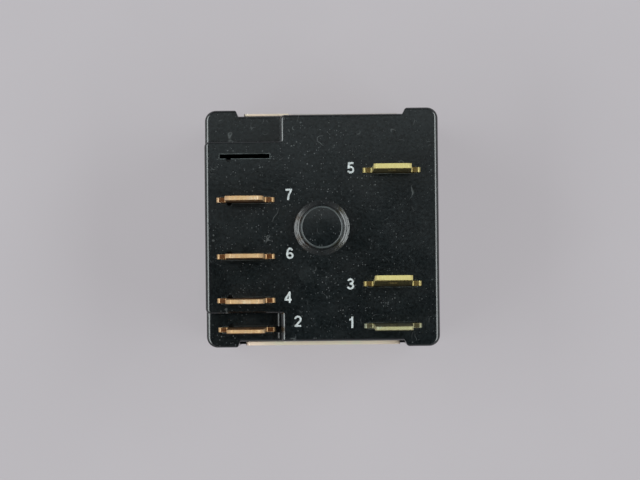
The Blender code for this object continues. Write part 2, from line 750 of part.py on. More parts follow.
def fixed_contact(number, side, silver):
    column, row = TERMINALS[number][:2]
    face = TAB_THICKNESS / 2 + FIT
    head = TAB_THICKNESS / 2 + FIXED_HEAD
    clench = -face - CLENCH_HEIGHT
    profile = rivet_profile(
        clench, -face, face, head, CLENCH_RADIUS, CONTACT_RADIUS, RIVET_SHANK_RADIUS, CONTACT_EDGE)
    mesh = turned(mirrored(profile, side), "Y", (column, row, BLADE_Z))
    return shade(solid(f"fixed_contact_{number}", mesh, silver))


def blade_root_y(number):
    side = POLES[number][0]
    return TERMINALS[number][1] + side * ROOT_OFFSET


def blade_lean(number, tip_offset):
    """Angle of a blade whose contact is tip_offset from the middle of its travel."""
    middle = POLES[number][1]
    return math.asin((middle + tip_offset - blade_root_y(number)) / CONTACT_LEVER)


def blade_shift(number):
    """How far a blade moves where the card pushes it, from rest to closed."""
    rest = math.sin(blade_lean(number, CONTACT_TRAVEL / 2))
    closed = math.sin(blade_lean(number, -CONTACT_TRAVEL / 2))
    return PUSHER_LEVER * (rest - closed)


def blade_pivot(number):
    """Empty on the blade's root, turned so that the blade leans as it does at rest."""
    pivot = bpy.data.objects.new(f"blade_pivot_{number}", None)
    bpy.context.collection.objects.link(pivot)
    pivot.location = (ROOT_X, blade_root_y(number), BLADE_Z)
    pivot.rotation_euler.z = -blade_lean(number, CONTACT_TRAVEL / 2)
    return pivot


def contact_blade(number, pivot, bronze):
    root = BLADE_WIDTH / 2
    tip = BLADE_TIP_WIDTH / 2
    end = -CONTACT_LEVER - tip
    outline = rounded([
        (BLADE_TAIL, -root, CARD_CORNER),
        (BLADE_TAIL, root, CARD_CORNER),
        (-BLADE_TAPER_START, root, 0),
        (end, tip, tip),
        (end, -tip, tip),
        (-BLADE_TAPER_START, -root, 0),
    ])
    half = BLADE_THICKNESS / 2
    body = solid(f"contact_blade_{number}", prism(outline, -half, half, "Y"), bronze)
    drill(body, RIVET_SHANK_RADIUS + FIT, -CONTACT_LEVER, 0, 0)
    for spread in (-ROOT_RIVET_SPREAD, ROOT_RIVET_SPREAD):
        drill(body, ROOT_RIVET_RADIUS + FIT, 0, 0, spread)
    slit_end = BLADE_SLIT_WIDTH / 2
    slit = rounded([
        (-BLADE_SLIT_START, -slit_end, slit_end),
        (-BLADE_SLIT_START, slit_end, slit_end),
        (-BLADE_SLIT_START - BLADE_SLIT_LENGTH, slit_end, slit_end),
        (-BLADE_SLIT_START - BLADE_SLIT_LENGTH, -slit_end, slit_end),
    ])
    cut(body, prism(slit, -BEYOND, BEYOND, "Y"))
    body.parent = pivot
    return shade(body)


def moving_contact(number, pivot, silver):
    """Contact rivet at a blade's tip, with a second contact head where it also meets a rest contact."""
    face = BLADE_THICKNESS / 2 + FIT
    two_way = number == TWO_WAY_POLE
    back_radius = CONTACT_RADIUS if two_way else CLENCH_RADIUS
    back = MOVING_HALF_HEIGHT if two_way else face + CLENCH_HEIGHT
    profile = rivet_profile(
        -MOVING_HALF_HEIGHT, -face, face, back,
        CONTACT_RADIUS, back_radius, RIVET_SHANK_RADIUS, CONTACT_EDGE)
    mesh = turned(profile, "Y", (-CONTACT_LEVER, 0, 0))
    body = solid(f"moving_contact_{number}", mesh, silver)
    body.parent = pivot
    return shade(body)


def blade_rivet(number, level, spread, steel):
    side = POLES[number][0]
    row = TERMINALS[number][1]
    plate_face = -TAB_THICKNESS / 2 - FIT
    blade_face = TAB_THICKNESS / 2 + 2 * ROOT_GAP + BLADE_THICKNESS
    profile = rivet_profile(
        plate_face - ROOT_HEAD_HEIGHT, plate_face, blade_face, blade_face + ROOT_HEAD_HEIGHT,
        ROOT_HEAD_RADIUS, ROOT_HEAD_RADIUS, ROOT_RIVET_RADIUS, FIT)
    mesh = turned(mirrored(profile, side), "Y", (ROOT_X, row, BLADE_Z + spread), SMALL_STEPS)
    return shade(solid(f"blade_rivet_{number}_{level}", mesh, steel))


# Electromagnet

def yoke(steel):
    """Bent iron strap: a long leg under the coil and a short leg that stands up into the base."""
    half = YOKE_WIDTH / 2
    leg_top = FLOOR_Z + PRONG_POCKET - FIT
    long_end = POLE_Y + FINGER_LENGTH
    profile = rounded([
        (YOKE_BACK_Y, leg_top, 0),
        (YOKE_BACK_Y, YOKE_Z, YOKE_BEND),
        (long_end, YOKE_Z, 0),
        (long_end, YOKE_Z + YOKE_THICKNESS, 0),
        (YOKE_INNER_Y, YOKE_Z + YOKE_THICKNESS, FIT),
        (YOKE_INNER_Y, leg_top, 0),
    ])
    body = solid("yoke", prism(profile, -half, half, "X"), steel)
    far = half + BEYOND
    leg_y = (YOKE_BACK_Y - BEYOND, YOKE_INNER_Y + BEYOND)
    for x_range in ((-PRONG_INNER_X, PRONG_INNER_X), (PRONG_OUTER_X, far), (-far, -PRONG_OUTER_X)):
        cut(body, box(x_range, leg_y, (FLOOR_Z - FIT, leg_top + BEYOND)))
    end_z = (YOKE_Z - BEYOND, YOKE_Z + YOKE_THICKNESS + BEYOND)
    for x_range in ((-FINGER_INNER_X, FINGER_INNER_X), (FINGER_OUTER_X, far), (-far, -FINGER_OUTER_X)):
        cut(body, box(x_range, (POLE_Y, long_end + BEYOND), end_z))
    hole_y = (YOKE_BACK_Y - BEYOND, YOKE_INNER_Y + BEYOND)
    cut(body, rod(CORE_TAIL_RADIUS + FIT, *hole_y, "Y", (0, 0, COIL_Z)))
    for side in (-1, 1):
        centre = (side * KEEPER_RIVET_X, KEEPER_RIVET_Y, 0)
        cut(body, rod(KEEPER_RIVET_RADIUS + FIT, *end_z, "Z", centre, SMALL_STEPS))
    return shade(body)


def core(steel):
    """Core with a wide pole at the armature's end and a tail riveted through the yoke."""
    head_face = YOKE_BACK_Y - FIT
    profile = [
        (0, head_face - CORE_HEAD_HEIGHT),
        (CORE_HEAD_RADIUS, head_face - CORE_HEAD_HEIGHT),
        (CORE_HEAD_RADIUS, head_face),
        (CORE_TAIL_RADIUS, head_face),
        (CORE_TAIL_RADIUS, YOKE_INNER_Y + FIT),
        (CORE_RADIUS, YOKE_INNER_Y + FIT),
        (CORE_RADIUS, POLE_Y - POLE_THICKNESS),
        (POLE_RADIUS, POLE_Y - POLE_THICKNESS),
        (POLE_RADIUS, POLE_Y),
        (0, POLE_Y),
    ]
    return shade(solid("core", turned(profile, "Y", (0, 0, COIL_Z)), steel))


def bobbin(nylon):
    """Spool with square flanges, and guides at the back for the card that slides above."""
    axis = (0, 0, COIL_Z)
    body = solid("bobbin", rod(BOBBIN_TUBE_RADIUS, BOBBIN_BACK_Y, BOBBIN_FRONT_Y, "Y", axis), nylon)
    flange = rounded([
        (x * BOBBIN_HALF, COIL_Z + z * BOBBIN_HALF, BOBBIN_CORNER)
        for x, z in ((-1, -1), (1, -1), (1, 1), (-1, 1))
    ])
    for start in (BOBBIN_BACK_Y, BOBBIN_FRONT_Y - BOBBIN_FLANGE):
        join(body, prism(flange, start, start + BOBBIN_FLANGE, "Y"))
    guide_x = CARD_SPINE / 2 + SLIDE
    guide_y = (BOBBIN_BACK_Y, BOBBIN_BACK_Y + GUIDE_LENGTH)
    guide_z = (FLANGE_TOP_Z - EMBED, CARD_TOP_Z - SLIDE)
    for side in (-1, 1):
        edges = sorted((side * guide_x, side * (guide_x + GUIDE_WIDTH)))
        join(body, box(edges, guide_y, guide_z))
    bore = (BOBBIN_BACK_Y - BEYOND, BOBBIN_FRONT_Y + BEYOND)
    cut(body, rod(CORE_RADIUS + FIT, *bore, "Y", axis))
    return shade(body)


def winding_range():
    return BOBBIN_BACK_Y + BOBBIN_FLANGE + FIT, BOBBIN_FRONT_Y - BOBBIN_FLANGE - FIT


def coil_winding(copper):
    axis = (0, 0, COIL_Z)
    mesh = ring(BOBBIN_TUBE_RADIUS + FIT, WINDING_RADIUS, *winding_range(), "Y", axis, FINE_STEPS)
    return shade(solid("coil_winding", mesh, copper))


def coil_tape(film):
    axis = (0, 0, COIL_Z)
    inner = WINDING_RADIUS + FIT
    mesh = ring(inner, inner + TAPE_THICKNESS, *winding_range(), "Y", axis, FINE_STEPS)
    return shade(solid("coil_tape", mesh, film))


def coil_lead(number, copper):
    """Wire from the winding, round the flange, to the tail of a coil terminal."""
    column, row = TERMINALS[number][:2]
    side = 1 if column > 0 else -1
    tail_x = abs(column) - SHANK_HALF + COIL_TAIL_WIDTH / 2
    tail_z = NECK_Z - COIL_TAIL_LENGTH
    clear = LEAD_RADIUS + SLIDE
    tape_side = WINDING_RADIUS + FIT + TAPE_THICKNESS + clear
    flange_side = BOBBIN_HALF + clear
    start_y = winding_range()[0] + BOBBIN_FLANGE
    rise = COIL_Z + BOBBIN_HALF / 2
    route = [
        (side * tape_side, start_y + BOBBIN_FLANGE, COIL_Z),
        (side * tape_side, start_y, COIL_Z + 2 * BOBBIN_FLANGE),
        (side * (flange_side + clear), BOBBIN_BACK_Y + BOBBIN_FLANGE, rise),
        (side * (flange_side + clear), BOBBIN_BACK_Y - BOBBIN_FLANGE / 2, rise + BOBBIN_FLANGE),
        (side * tail_x, row + TAB_THICKNESS / 2 + clear, tail_z + BOBBIN_FLANGE),
        (side * tail_x, row + TAB_THICKNESS / 2 + clear, tail_z + 2 * BOBBIN_FLANGE),
    ]
    return tube(f"coil_lead_{number}", smooth_path(route, ARC_STEPS), LEAD_RADIUS, copper)


def armature_keeper(bronze):
    """Leaf under the yoke, bent up behind the armature to keep it on its edge."""
    open_face = ARMATURE_THICKNESS + FIT + math.tan(ARMATURE_ANGLE) * KEEPER_RISE
    inner_y = POLE_Y + open_face + SLIDE
    outer_y = inner_y + KEEPER_THICKNESS
    top = KEEPER_Z + KEEPER_THICKNESS
    rise = YOKE_Z + KEEPER_RISE
    profile = rounded([
        (KEEPER_START_Y, KEEPER_Z, 0),
        (outer_y, KEEPER_Z, KEEPER_BEND + KEEPER_THICKNESS),
        (outer_y, rise, 0),
        (inner_y, rise, 0),
        (inner_y, top, KEEPER_BEND),
        (KEEPER_START_Y, top, 0),
    ])
    half = KEEPER_WIDTH / 2
    body = solid("armature_keeper", prism(profile, -half, half, "X"), bronze)
    for side in (-1, 1):
        centre = (side * KEEPER_RIVET_X, KEEPER_RIVET_Y, KEEPER_Z)
        cut(body, rod(KEEPER_RIVET_RADIUS + FIT, -BEYOND, BEYOND, "Z", centre, SMALL_STEPS))
    return shade(body)


def keeper_rivet(name, side, steel):
    head = KEEPER_Z - FIT
    profile = [
        (0, head - KEEPER_HEAD_HEIGHT),
        (KEEPER_HEAD_RADIUS, head - KEEPER_HEAD_HEIGHT),
        (KEEPER_HEAD_RADIUS, head),
        (KEEPER_RIVET_RADIUS, head),
        (KEEPER_RIVET_RADIUS, YOKE_Z + YOKE_THICKNESS),
        (0, YOKE_Z + YOKE_THICKNESS),
    ]
    mesh = turned(profile, "Z", (side * KEEPER_RIVET_X, KEEPER_RIVET_Y, 0), SMALL_STEPS)
    return shade(solid(name, mesh, steel))


def armature(steel):
    """Clapper plate on the yoke's edge. It is drawn closed and then turned open, as it rests."""
    half = ARMATURE_WIDTH / 2
    notch_in = FINGER_INNER_X - SLIDE
    notch_out = FINGER_OUTER_X + SLIDE
    notch_top = YOKE_THICKNESS + SLIDE + FIT
    shoulder = COIL_Z + POLE_RADIUS + ARMATURE_MARGIN - YOKE_Z
    tip = CARD_TOP_Z + TONGUE_OVER - YOKE_Z
    right_side = [
        (notch_in, FIT, 0),
        (notch_in, notch_top, 0),
        (notch_out, notch_top, 0),
        (notch_out, FIT, 0),
        (half, FIT, 0),
        (half, shoulder, ARMATURE_CORNER),
        (TONGUE_HALF, shoulder, 0),
        (TONGUE_HALF, tip, 2 * FIT),
    ]
    left_side = [(-x, z, radius) for x, z, radius in reversed(right_side)]
    mesh = prism(rounded(right_side + left_side), FIT, FIT + ARMATURE_THICKNESS, "Y")
    body = solid("armature", mesh, steel)
    body.location = (0, POLE_Y, YOKE_Z)
    body.rotation_euler.x = -ARMATURE_ANGLE
    return shade(body)


# Card and spring

def pusher_slot(number):
    """Near and far side of the card's slot round a blade, at rest."""
    blade = blade_root_y(number) + PUSHER_LEVER * math.sin(blade_lean(number, CONTACT_TRAVEL / 2))
    half = BLADE_THICKNESS / 2 + PUSHER_CLEARANCE
    spare = CARD_TRAVEL - blade_shift(number)
    return blade - half, blade + half + spare


def actuator_card(fibre):
    """Insulating card that the armature's tongue slides, with a slotted pusher for each blade."""
    spine = CARD_SPINE / 2
    left = PUSHER_X - PUSHER_WIDTH / 2
    tongue = POLE_Y + FIT + CARD_LEVER * math.tan(ARMATURE_ANGLE)
    tongue_y = (tongue - PUSHER_CLEARANCE, tongue + ARMATURE_THICKNESS + PUSHER_CLEARANCE)
    front = tongue_y[1] + CARD_END_MARGIN
    arms = []
    for number in (5, 3):
        near, far = pusher_slot(number)
        arms.append((far + PUSHER_WALL, near - PUSHER_WALL))
    corners = [
        (spine, CARD_BACK_Y, CARD_CORNER),
        (spine, front, CARD_CORNER),
        (-spine, front, CARD_CORNER),
    ]
    for high, low in arms:
        corners += [
            (-spine, high, 0),
            (left, high, CARD_CORNER),
            (left, low, CARD_CORNER),
            (-spine, low, 0),
        ]
    corners.append((-spine, CARD_BACK_Y, CARD_CORNER))
    body = solid("actuator_card", prism(rounded(corners), CARD_Z, CARD_TOP_Z), fibre)
    tongue_x = TONGUE_HALF + SLIDE
    card_through = (CARD_Z - BEYOND, CARD_TOP_Z + BEYOND)
    cut(body, box((-tongue_x, tongue_x), tongue_y, card_through))
    pusher_z = (CARD_Z + EMBED, CARD_TOP_Z + PUSHER_HEIGHT)
    for number, (high, low) in zip((5, 3), arms):
        join(body, box((left, left + PUSHER_WIDTH), (low, high), pusher_z))
        slot_x = (left - BEYOND, left + PUSHER_WIDTH + BEYOND)
        cut(body, box(slot_x, pusher_slot(number), (CARD_TOP_Z, pusher_z[1] + BEYOND)))
    spring_seat(body)
    return shade(body)


def spring_seat(body):
    half = SPRING_SEAT_WIDTH / 2
    top = SPRING_Z + SPRING_RADIUS + SPRING_WIRE_RADIUS
    seat_y = (SPRING_SEAT_Y, SPRING_SEAT_Y + SPRING_SEAT_THICKNESS)
    join(body, box((-half, half), seat_y, (CARD_Z + EMBED, top)))
    pin_y = (SPRING_SEAT_Y - SPRING_PIN_LENGTH, SPRING_SEAT_Y + EMBED)
    join(body, rod(SPRING_PIN_RADIUS, *pin_y, "Y", (0, 0, SPRING_Z), SMALL_STEPS))


def return_spring(steel):
    """Compression spring between the yoke's short leg and the card."""
    start = YOKE_INNER_Y + FIT + SPRING_WIRE_RADIUS
    length = SPRING_LENGTH - 2 * SPRING_WIRE_RADIUS
    count = SPRING_TURNS * SPRING_POINTS
    path = []
    for index in range(count + 1):
        angle = 2 * math.pi * index / SPRING_POINTS
        across = (SPRING_RADIUS * math.cos(angle), SPRING_Z + SPRING_RADIUS * math.sin(angle))
        path.append(along_axis("Y", *across, start + length * index / count))
    gap = length / SPRING_TURNS - 2 * SPRING_WIRE_RADIUS
    print(f"return_spring: gap between turns {gap / MM:.2f} mm")
    return tube("return_spring", path, SPRING_WIRE_RADIUS, steel)


def build():
    clear_scene()
    black = material("black moulded plastic", (0.012, 0.015, 0.016), 0.28, 0.0)
    copper_alloy = material("copper alloy", (0.56, 0.27, 0.12), 0.34, 1.0)
    brass = material("brass", (0.62, 0.48, 0.20), 0.32, 1.0)
    zinc = material("yellow zinc plate", (0.66, 0.55, 0.38), 0.30, 1.0)
    iron = material("nickel-plated iron", (0.50, 0.50, 0.48), 0.40, 1.0)
    silver = material("silver alloy", (0.80, 0.79, 0.76), 0.30, 1.0)
    bronze = material("spring bronze", (0.60, 0.40, 0.22), 0.32, 1.0)
    nylon = material("pale nylon", (0.62, 0.58, 0.48), 0.55, 0.0)
    wire = material("enamelled wire", (0.42, 0.13, 0.05), 0.35, 0.6)
    film = material("amber film", (0.60, 0.42, 0.10), 0.30, 0.0)
    fibre = material("brown card", (0.22, 0.10, 0.05), 0.60, 0.0)
    base(black)
    cover(black)
    retaining_strap(zinc)
    for number in TERMINALS:
        terminal(number, copper_alloy if number in (2, 4, 6, 7) else brass)
    for number, side in ((4, 1), (6, -1), (7, 1)):
        fixed_contact(number, side, silver)
    for number in POLES:
        pivot = blade_pivot(number)
        contact_blade(number, pivot, bronze)
        moving_contact(number, pivot, silver)
        blade_rivet(number, "lower", -ROOT_RIVET_SPREAD, iron)
        blade_rivet(number, "upper", ROOT_RIVET_SPREAD, iron)
    yoke(iron)
    core(iron)
    bobbin(nylon)
    coil_winding(wire)
    coil_tape(film)
    for number in (1, 2):
        coil_lead(number, wire)
    armature_keeper(bronze)
    keeper_rivet("keeper_rivet_left", -1, iron)
    keeper_rivet("keeper_rivet_right", 1, iron)
    armature(iron)
    actuator_card(fibre)
    return_spring(iron)
    swing = blade_lean(3, CONTACT_TRAVEL / 2) - blade_lean(3, -CONTACT_TRAVEL / 2)
    print(f"card travel {CARD_TRAVEL / MM:.3f} mm, lever {CARD_LEVER / MM:.3f} mm")
    print(f"blade swing {math.degrees(swing):.4f} degrees")


build()
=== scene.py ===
# %% [markdown]
# # Dressing a plug-in relay
# A plug-in relay is a switch worked by an electromagnet: a black moulded base carries flat blades that
# push into a socket, and a cover closes the coil and contacts under it. The measured parts are already
# there. This lesson makes each piece that shows again with the rounding, marks and finish of the real
# one, and lets it ride on the same body, so that everything still fits and moves.

# %% Load the measured parts
import json
import math

import bmesh
import bpy
from mathutils import Matrix, Vector


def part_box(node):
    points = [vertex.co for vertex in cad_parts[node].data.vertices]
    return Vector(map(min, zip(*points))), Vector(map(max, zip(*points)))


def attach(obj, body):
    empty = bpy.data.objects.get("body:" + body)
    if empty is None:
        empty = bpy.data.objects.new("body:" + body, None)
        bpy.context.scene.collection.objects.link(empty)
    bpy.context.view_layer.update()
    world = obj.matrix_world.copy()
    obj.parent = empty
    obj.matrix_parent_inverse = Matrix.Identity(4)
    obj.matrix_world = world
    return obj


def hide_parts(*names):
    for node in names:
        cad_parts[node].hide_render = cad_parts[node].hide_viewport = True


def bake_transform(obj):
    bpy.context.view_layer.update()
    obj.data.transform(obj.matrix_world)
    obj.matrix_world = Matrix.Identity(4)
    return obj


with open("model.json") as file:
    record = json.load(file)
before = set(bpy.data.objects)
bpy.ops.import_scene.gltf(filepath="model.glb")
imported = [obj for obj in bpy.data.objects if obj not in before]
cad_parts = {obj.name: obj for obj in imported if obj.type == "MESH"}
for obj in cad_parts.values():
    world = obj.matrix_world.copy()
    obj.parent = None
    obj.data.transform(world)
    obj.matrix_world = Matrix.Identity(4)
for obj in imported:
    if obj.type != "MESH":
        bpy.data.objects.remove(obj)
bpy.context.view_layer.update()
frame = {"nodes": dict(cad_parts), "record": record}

MM = 0.001

# %% [markdown]
# ## The camera
# The picture looks almost straight down on the terminal face from about 40 cm. A long lens at that
# distance keeps the blades nearly end-on, and the small tilt shows a sliver of each blade's side. The
# place and the three angles come from fitting the corners, slots and blades to where they appear.

# %% Place the camera
scene = bpy.context.scene
scene.view_settings.view_transform = "Standard"
camera_data = bpy.data.cameras.new("camera")
camera_data.sensor_width = 36.0
camera_data.lens = 137.25
camera = bpy.data.objects.new("camera", camera_data)
scene.collection.objects.link(camera)
camera.location = (1.513 * MM, -10.392 * MM, 434.17 * MM)
camera.rotation_euler = [math.radians(angle) for angle in (1.1927, 0.2766, -0.5820)]
scene.camera = camera
print("camera height in mm:", round(camera.location.z / MM))

# %% [markdown]
# ## Light
# Glossy black plastic shows its shape only through what it mirrors. Two soft lamps, one at each side
# and half-way up, draw the thin bright lines along every edge that faces left or right. A weak panel
# almost overhead is mirrored by the far end of the flat face and leaves the near end dark. The room
# itself is a pale horizon that darkens overhead and towards its front and back.

# %% Hang the lamps
def soft_lamp(name, place, aim, width, height, radiance):
    """Rectangular lamp that looks as bright as radiance says, from wherever it hangs."""
    lamp = bpy.data.lights.new(name, "AREA")
    lamp.shape = "RECTANGLE"
    lamp.size = width
    lamp.size_y = height
    lamp.energy = radiance * math.pi * width * height
    lamp.color = (0.93, 1.0, 1.0)
    hung = bpy.data.objects.new(name, lamp)
    scene.collection.objects.link(hung)
    hung.location = place
    hung.rotation_euler = (Vector(aim) - Vector(place)).to_track_quat("-Z", "X").to_euler()
    hung.visible_camera = False
    return hung


TARGET = (0.0, 0.0, 0.03)
SIDE_REACH = 0.58
SIDE_RISE = 0.72
for side_name, side in (("left", -1), ("right", 1)):
    soft_lamp(f"{side_name}_lamp", (side * SIDE_REACH, 0.0, SIDE_RISE), TARGET, 0.32, 0.86, 5.0)
soft_lamp("overhead_panel", (0.0, 0.14, 0.93), TARGET, 0.15, 0.50, 0.5)

# %% Colour the room
room = bpy.data.worlds.new("room")
scene.world = room
room.use_nodes = True
sky = room.node_tree
sky_direction = sky.nodes.new("ShaderNodeTexCoord")
sky_parts = sky.nodes.new("ShaderNodeSeparateXYZ")
sky_ramp = sky.nodes.new("ShaderNodeValToRGB")
sky.links.new(sky_direction.outputs["Generated"], sky_parts.inputs[0])
sky.links.new(sky_parts.outputs["Z"], sky_ramp.inputs[0])
sky.links.new(sky_ramp.outputs[0], sky.nodes["Background"].inputs["Color"])
sky_aside = sky.nodes.new("ShaderNodeMath")
sky_aside.operation = "ABSOLUTE"
sky.links.new(sky_parts.outputs["X"], sky_aside.inputs[0])
sky_fade = sky.nodes.new("ShaderNodeMapRange")
for socket, value in (("From Max", 0.6), ("To Min", 0.35), ("To Max", 1.05)):
    sky_fade.inputs[socket].default_value = value
sky.links.new(sky_aside.outputs[0], sky_fade.inputs["Value"])
sky.links.new(sky_fade.outputs[0], sky.nodes["Background"].inputs["Strength"])
sky_stops = sky_ramp.color_ramp.elements
sky_stops[0].color = (0.55, 0.55, 0.56, 1.0)
sky_stops[1].color = (0.02, 0.022, 0.023, 1.0)
for rise, level in ((0.85, 0.30), (0.94, 0.14), (0.985, 0.04)):
    sky_stops.new(rise).color = (level, level, level * 1.02, 1.0)
print("room: pale horizon, darker overhead, in", len(sky_stops), "steps")

# %% [markdown]
# ## Helpers for finishes
# Every finish starts from a Principled shader and the piece's own object coordinates, which are metres
# on the real object, so a texture scale of 1000 gives marks about a millimetre apart. One small helper
# adds a node and either links or sets each input, which keeps the recipes below short.

# %% Build shader nodes in one line each
def add(tree, kind, inputs=None, **settings):
    made = tree.nodes.new(kind)
    for setting, value in settings.items():
        setattr(made, setting, value)
    for socket, value in (inputs or {}).items():
        if isinstance(value, bpy.types.NodeSocket):
            tree.links.new(value, made.inputs[socket])
        else:
            made.inputs[socket].default_value = value
    return made


def start_finish(name, **values):
    """New material, its tree, its shader and the object coordinates."""
    made = bpy.data.materials.new(name)
    made.use_nodes = True
    tree = made.node_tree
    shader = tree.nodes["Principled BSDF"]
    for socket, value in values.items():
        shader.inputs[socket.replace("_", " ").title()].default_value = value
    place = add(tree, "ShaderNodeTexCoord").outputs["Object"]
    return made, tree, shader, place


def stretched(tree, place, scale):
    return add(tree, "ShaderNodeMapping", {"Vector": place, "Scale": scale}).outputs[0]


def noted(tree, name):
    """Number that was written on the faces or points of the piece."""
    return add(tree, "ShaderNodeAttribute", attribute_name=name).outputs["Fac"]


def clouds(tree, place, scale, detail=2.0, roughness=0.5):
    inputs = {"Vector": place, "Scale": scale, "Detail": detail, "Roughness": roughness}
    return add(tree, "ShaderNodeTexNoise", inputs).outputs["Fac"]


def spread(tree, value, low, high, to_low=0.0, to_high=1.0):
    """Map a range of a texture to another range, held at both ends."""
    inputs = {"Value": value, "From Min": low, "From Max": high, "To Min": to_low, "To Max": to_high}
    return add(tree, "ShaderNodeMapRange", inputs, clamp=True).outputs[0]


def sums(tree, operation, first, second, third=0.0):
    return add(tree, "ShaderNodeMath", {0: first, 1: second, 2: third}, operation=operation).outputs[0]


def mix(tree, share, first, second):
    """Colour that goes from first to second as share goes from 0 to 1."""
    made = add(tree, "ShaderNodeMix", {0: share}, data_type="RGBA")
    for socket, value in ((6, first), (7, second)):
        if isinstance(value, bpy.types.NodeSocket):
            tree.links.new(value, made.inputs[socket])
        else:
            made.inputs[socket].default_value = (*value, 1.0)
    return made.outputs[2]


def bump(tree, shader, height, strength, distance):
    inputs = {"Height": height, "Strength": strength, "Distance": distance}
    tree.links.new(add(tree, "ShaderNodeBump", inputs).outputs[0], shader.inputs["Normal"])


print("finish helpers ready")

# %% [markdown]
# ## Black moulding
# The housing is a glossy black thermoplastic that has been handled and kept in a drawer. Up close it
# has a fine mottle from the mould, dust specks, curled fibres, a paler rim round the slot mouths, a
# painted highlight on the rim of the boss, and fine rings on the foot of the boss, where the mould was
# turned. Specks come from a cell texture with one dot of its own size in some of the cells. A fibre is
# a thin contour line of a soft cloud that shows only inside such a dot. Which faces have a pale rim or
# are turned is noted on the piece when it is cut.

# %% Scatter dust and fibres
def dust(tree, place, cells_per_metre, share, size=0.20):
    """Round specks of different sizes, in a share of the cells."""
    cells = add(tree, "ShaderNodeTexVoronoi", {"Vector": place, "Scale": cells_per_metre})
    chance = add(tree, "ShaderNodeSeparateColor", {0: cells.outputs["Color"]})
    reach = spread(tree, chance.outputs[0], 1.0 - share, 1.0, 0.0, size)
    inside = sums(tree, "SUBTRACT", reach, cells.outputs["Distance"])
    return spread(tree, inside, 0.0, 0.4 * size)


def fibres(tree, place, curl):
    """Short curled threads."""
    off_contour = sums(tree, "ABSOLUTE", sums(tree, "SUBTRACT", clouds(tree, place, curl, 1.0), 0.5), 0.0)
    thread = spread(tree, off_contour, 0.0, 0.014, 1.0, 0.0)
    return sums(tree, "MULTIPLY", thread, dust(tree, place, 0.8 * curl, 0.55, 0.45))


def ring_marks(tree, place):
    """Fine rings round the upright axis, as a cutter leaves them."""
    across = add(tree, "ShaderNodeVectorMath", {0: stretched(tree, place, (1.0, 1.0, 0.0))}, operation="LENGTH")
    around = add(tree, "ShaderNodeSeparateXYZ", {0: stretched(tree, place, (260.0, 260.0, 260.0))})
    ring = sums(tree, "MULTIPLY", across.outputs["Value"], 5200.0)
    marks = add(tree, "ShaderNodeCombineXYZ", {"X": ring, "Y": around.outputs["X"], "Z": around.outputs["Y"]})
    return clouds(tree, marks.outputs[0], 1.0, 2.0)


print("dust and fibre helpers ready")

# %% Mix the black moulding
def black_moulding():
    made, tree, shader, place = start_finish("black_moulding")
    shader.inputs["Specular IOR Level"].default_value = 0.9
    broad = sums(tree, "MULTIPLY", clouds(tree, place, 130.0, 3.0), 0.2)
    mottle = sums(tree, "MULTIPLY_ADD", clouds(tree, place, 2300.0, 3.0, 0.7), 0.8, broad)
    colour = mix(tree, spread(tree, mottle, 0.38, 0.64), (0.0002, 0.0014, 0.0018), (0.0106, 0.0146, 0.0160))
    patches = spread(tree, clouds(tree, place, 100.0, 3.0), 0.40, 0.60, 0.10, 1.0)
    specks = sums(tree, "MAXIMUM", dust(tree, place, 900.0, 0.45, 0.17), dust(tree, place, 1500.0, 0.45, 0.22))
    specks = sums(tree, "MAXIMUM", specks, dust(tree, place, 2700.0, 0.55, 0.34))
    dusty = sums(tree, "MULTIPLY", specks, patches)
    threads = sums(tree, "MAXIMUM", fibres(tree, place, 330.0), fibres(tree, place, 560.0))
    # pale rims: a paler line round the slot mouths, a painted highlight on the rim of the boss, a trace in the pin
    # mark
    pale_rim_patches = spread(tree, clouds(tree, place, 700.0, 3.0), 0.32, 0.58, 0.35, 1.0)
    pale_rim_share = sums(tree, "MULTIPLY", noted(tree, "pale_rim"), pale_rim_patches)
    colour = mix(tree, sums(tree, "MULTIPLY", dusty, 0.50), colour, (0.105, 0.118, 0.120))
    colour = mix(tree, sums(tree, "MULTIPLY", threads, 0.75), colour, (0.120, 0.130, 0.130))
    colour = mix(tree, pale_rim_share, colour, (0.110, 0.132, 0.134))
    tree.links.new(colour, shader.inputs["Base Color"])
    smears = spread(tree, clouds(tree, place, 210.0, 4.0), 0.3, 0.75, 0.15, 0.24)
    rings = sums(tree, "MULTIPLY", ring_marks(tree, place), noted(tree, "turned"))
    dull = sums(tree, "MAXIMUM", sums(tree, "MAXIMUM", dusty, pale_rim_share), sums(tree, "MULTIPLY", rings, 0.2))
    tree.links.new(sums(tree, "MULTIPLY_ADD", dull, 0.42, smears), shader.inputs["Roughness"])
    skin = sums(tree, "ADD", clouds(tree, place, 1500.0, 2.0), sums(tree, "MULTIPLY", rings, 36.0))
    bump(tree, shader, skin, 0.10, 0.00006)
    return made


BLACK = black_moulding()
print("mixed", BLACK.name, "from", len(BLACK.node_tree.nodes), "nodes")
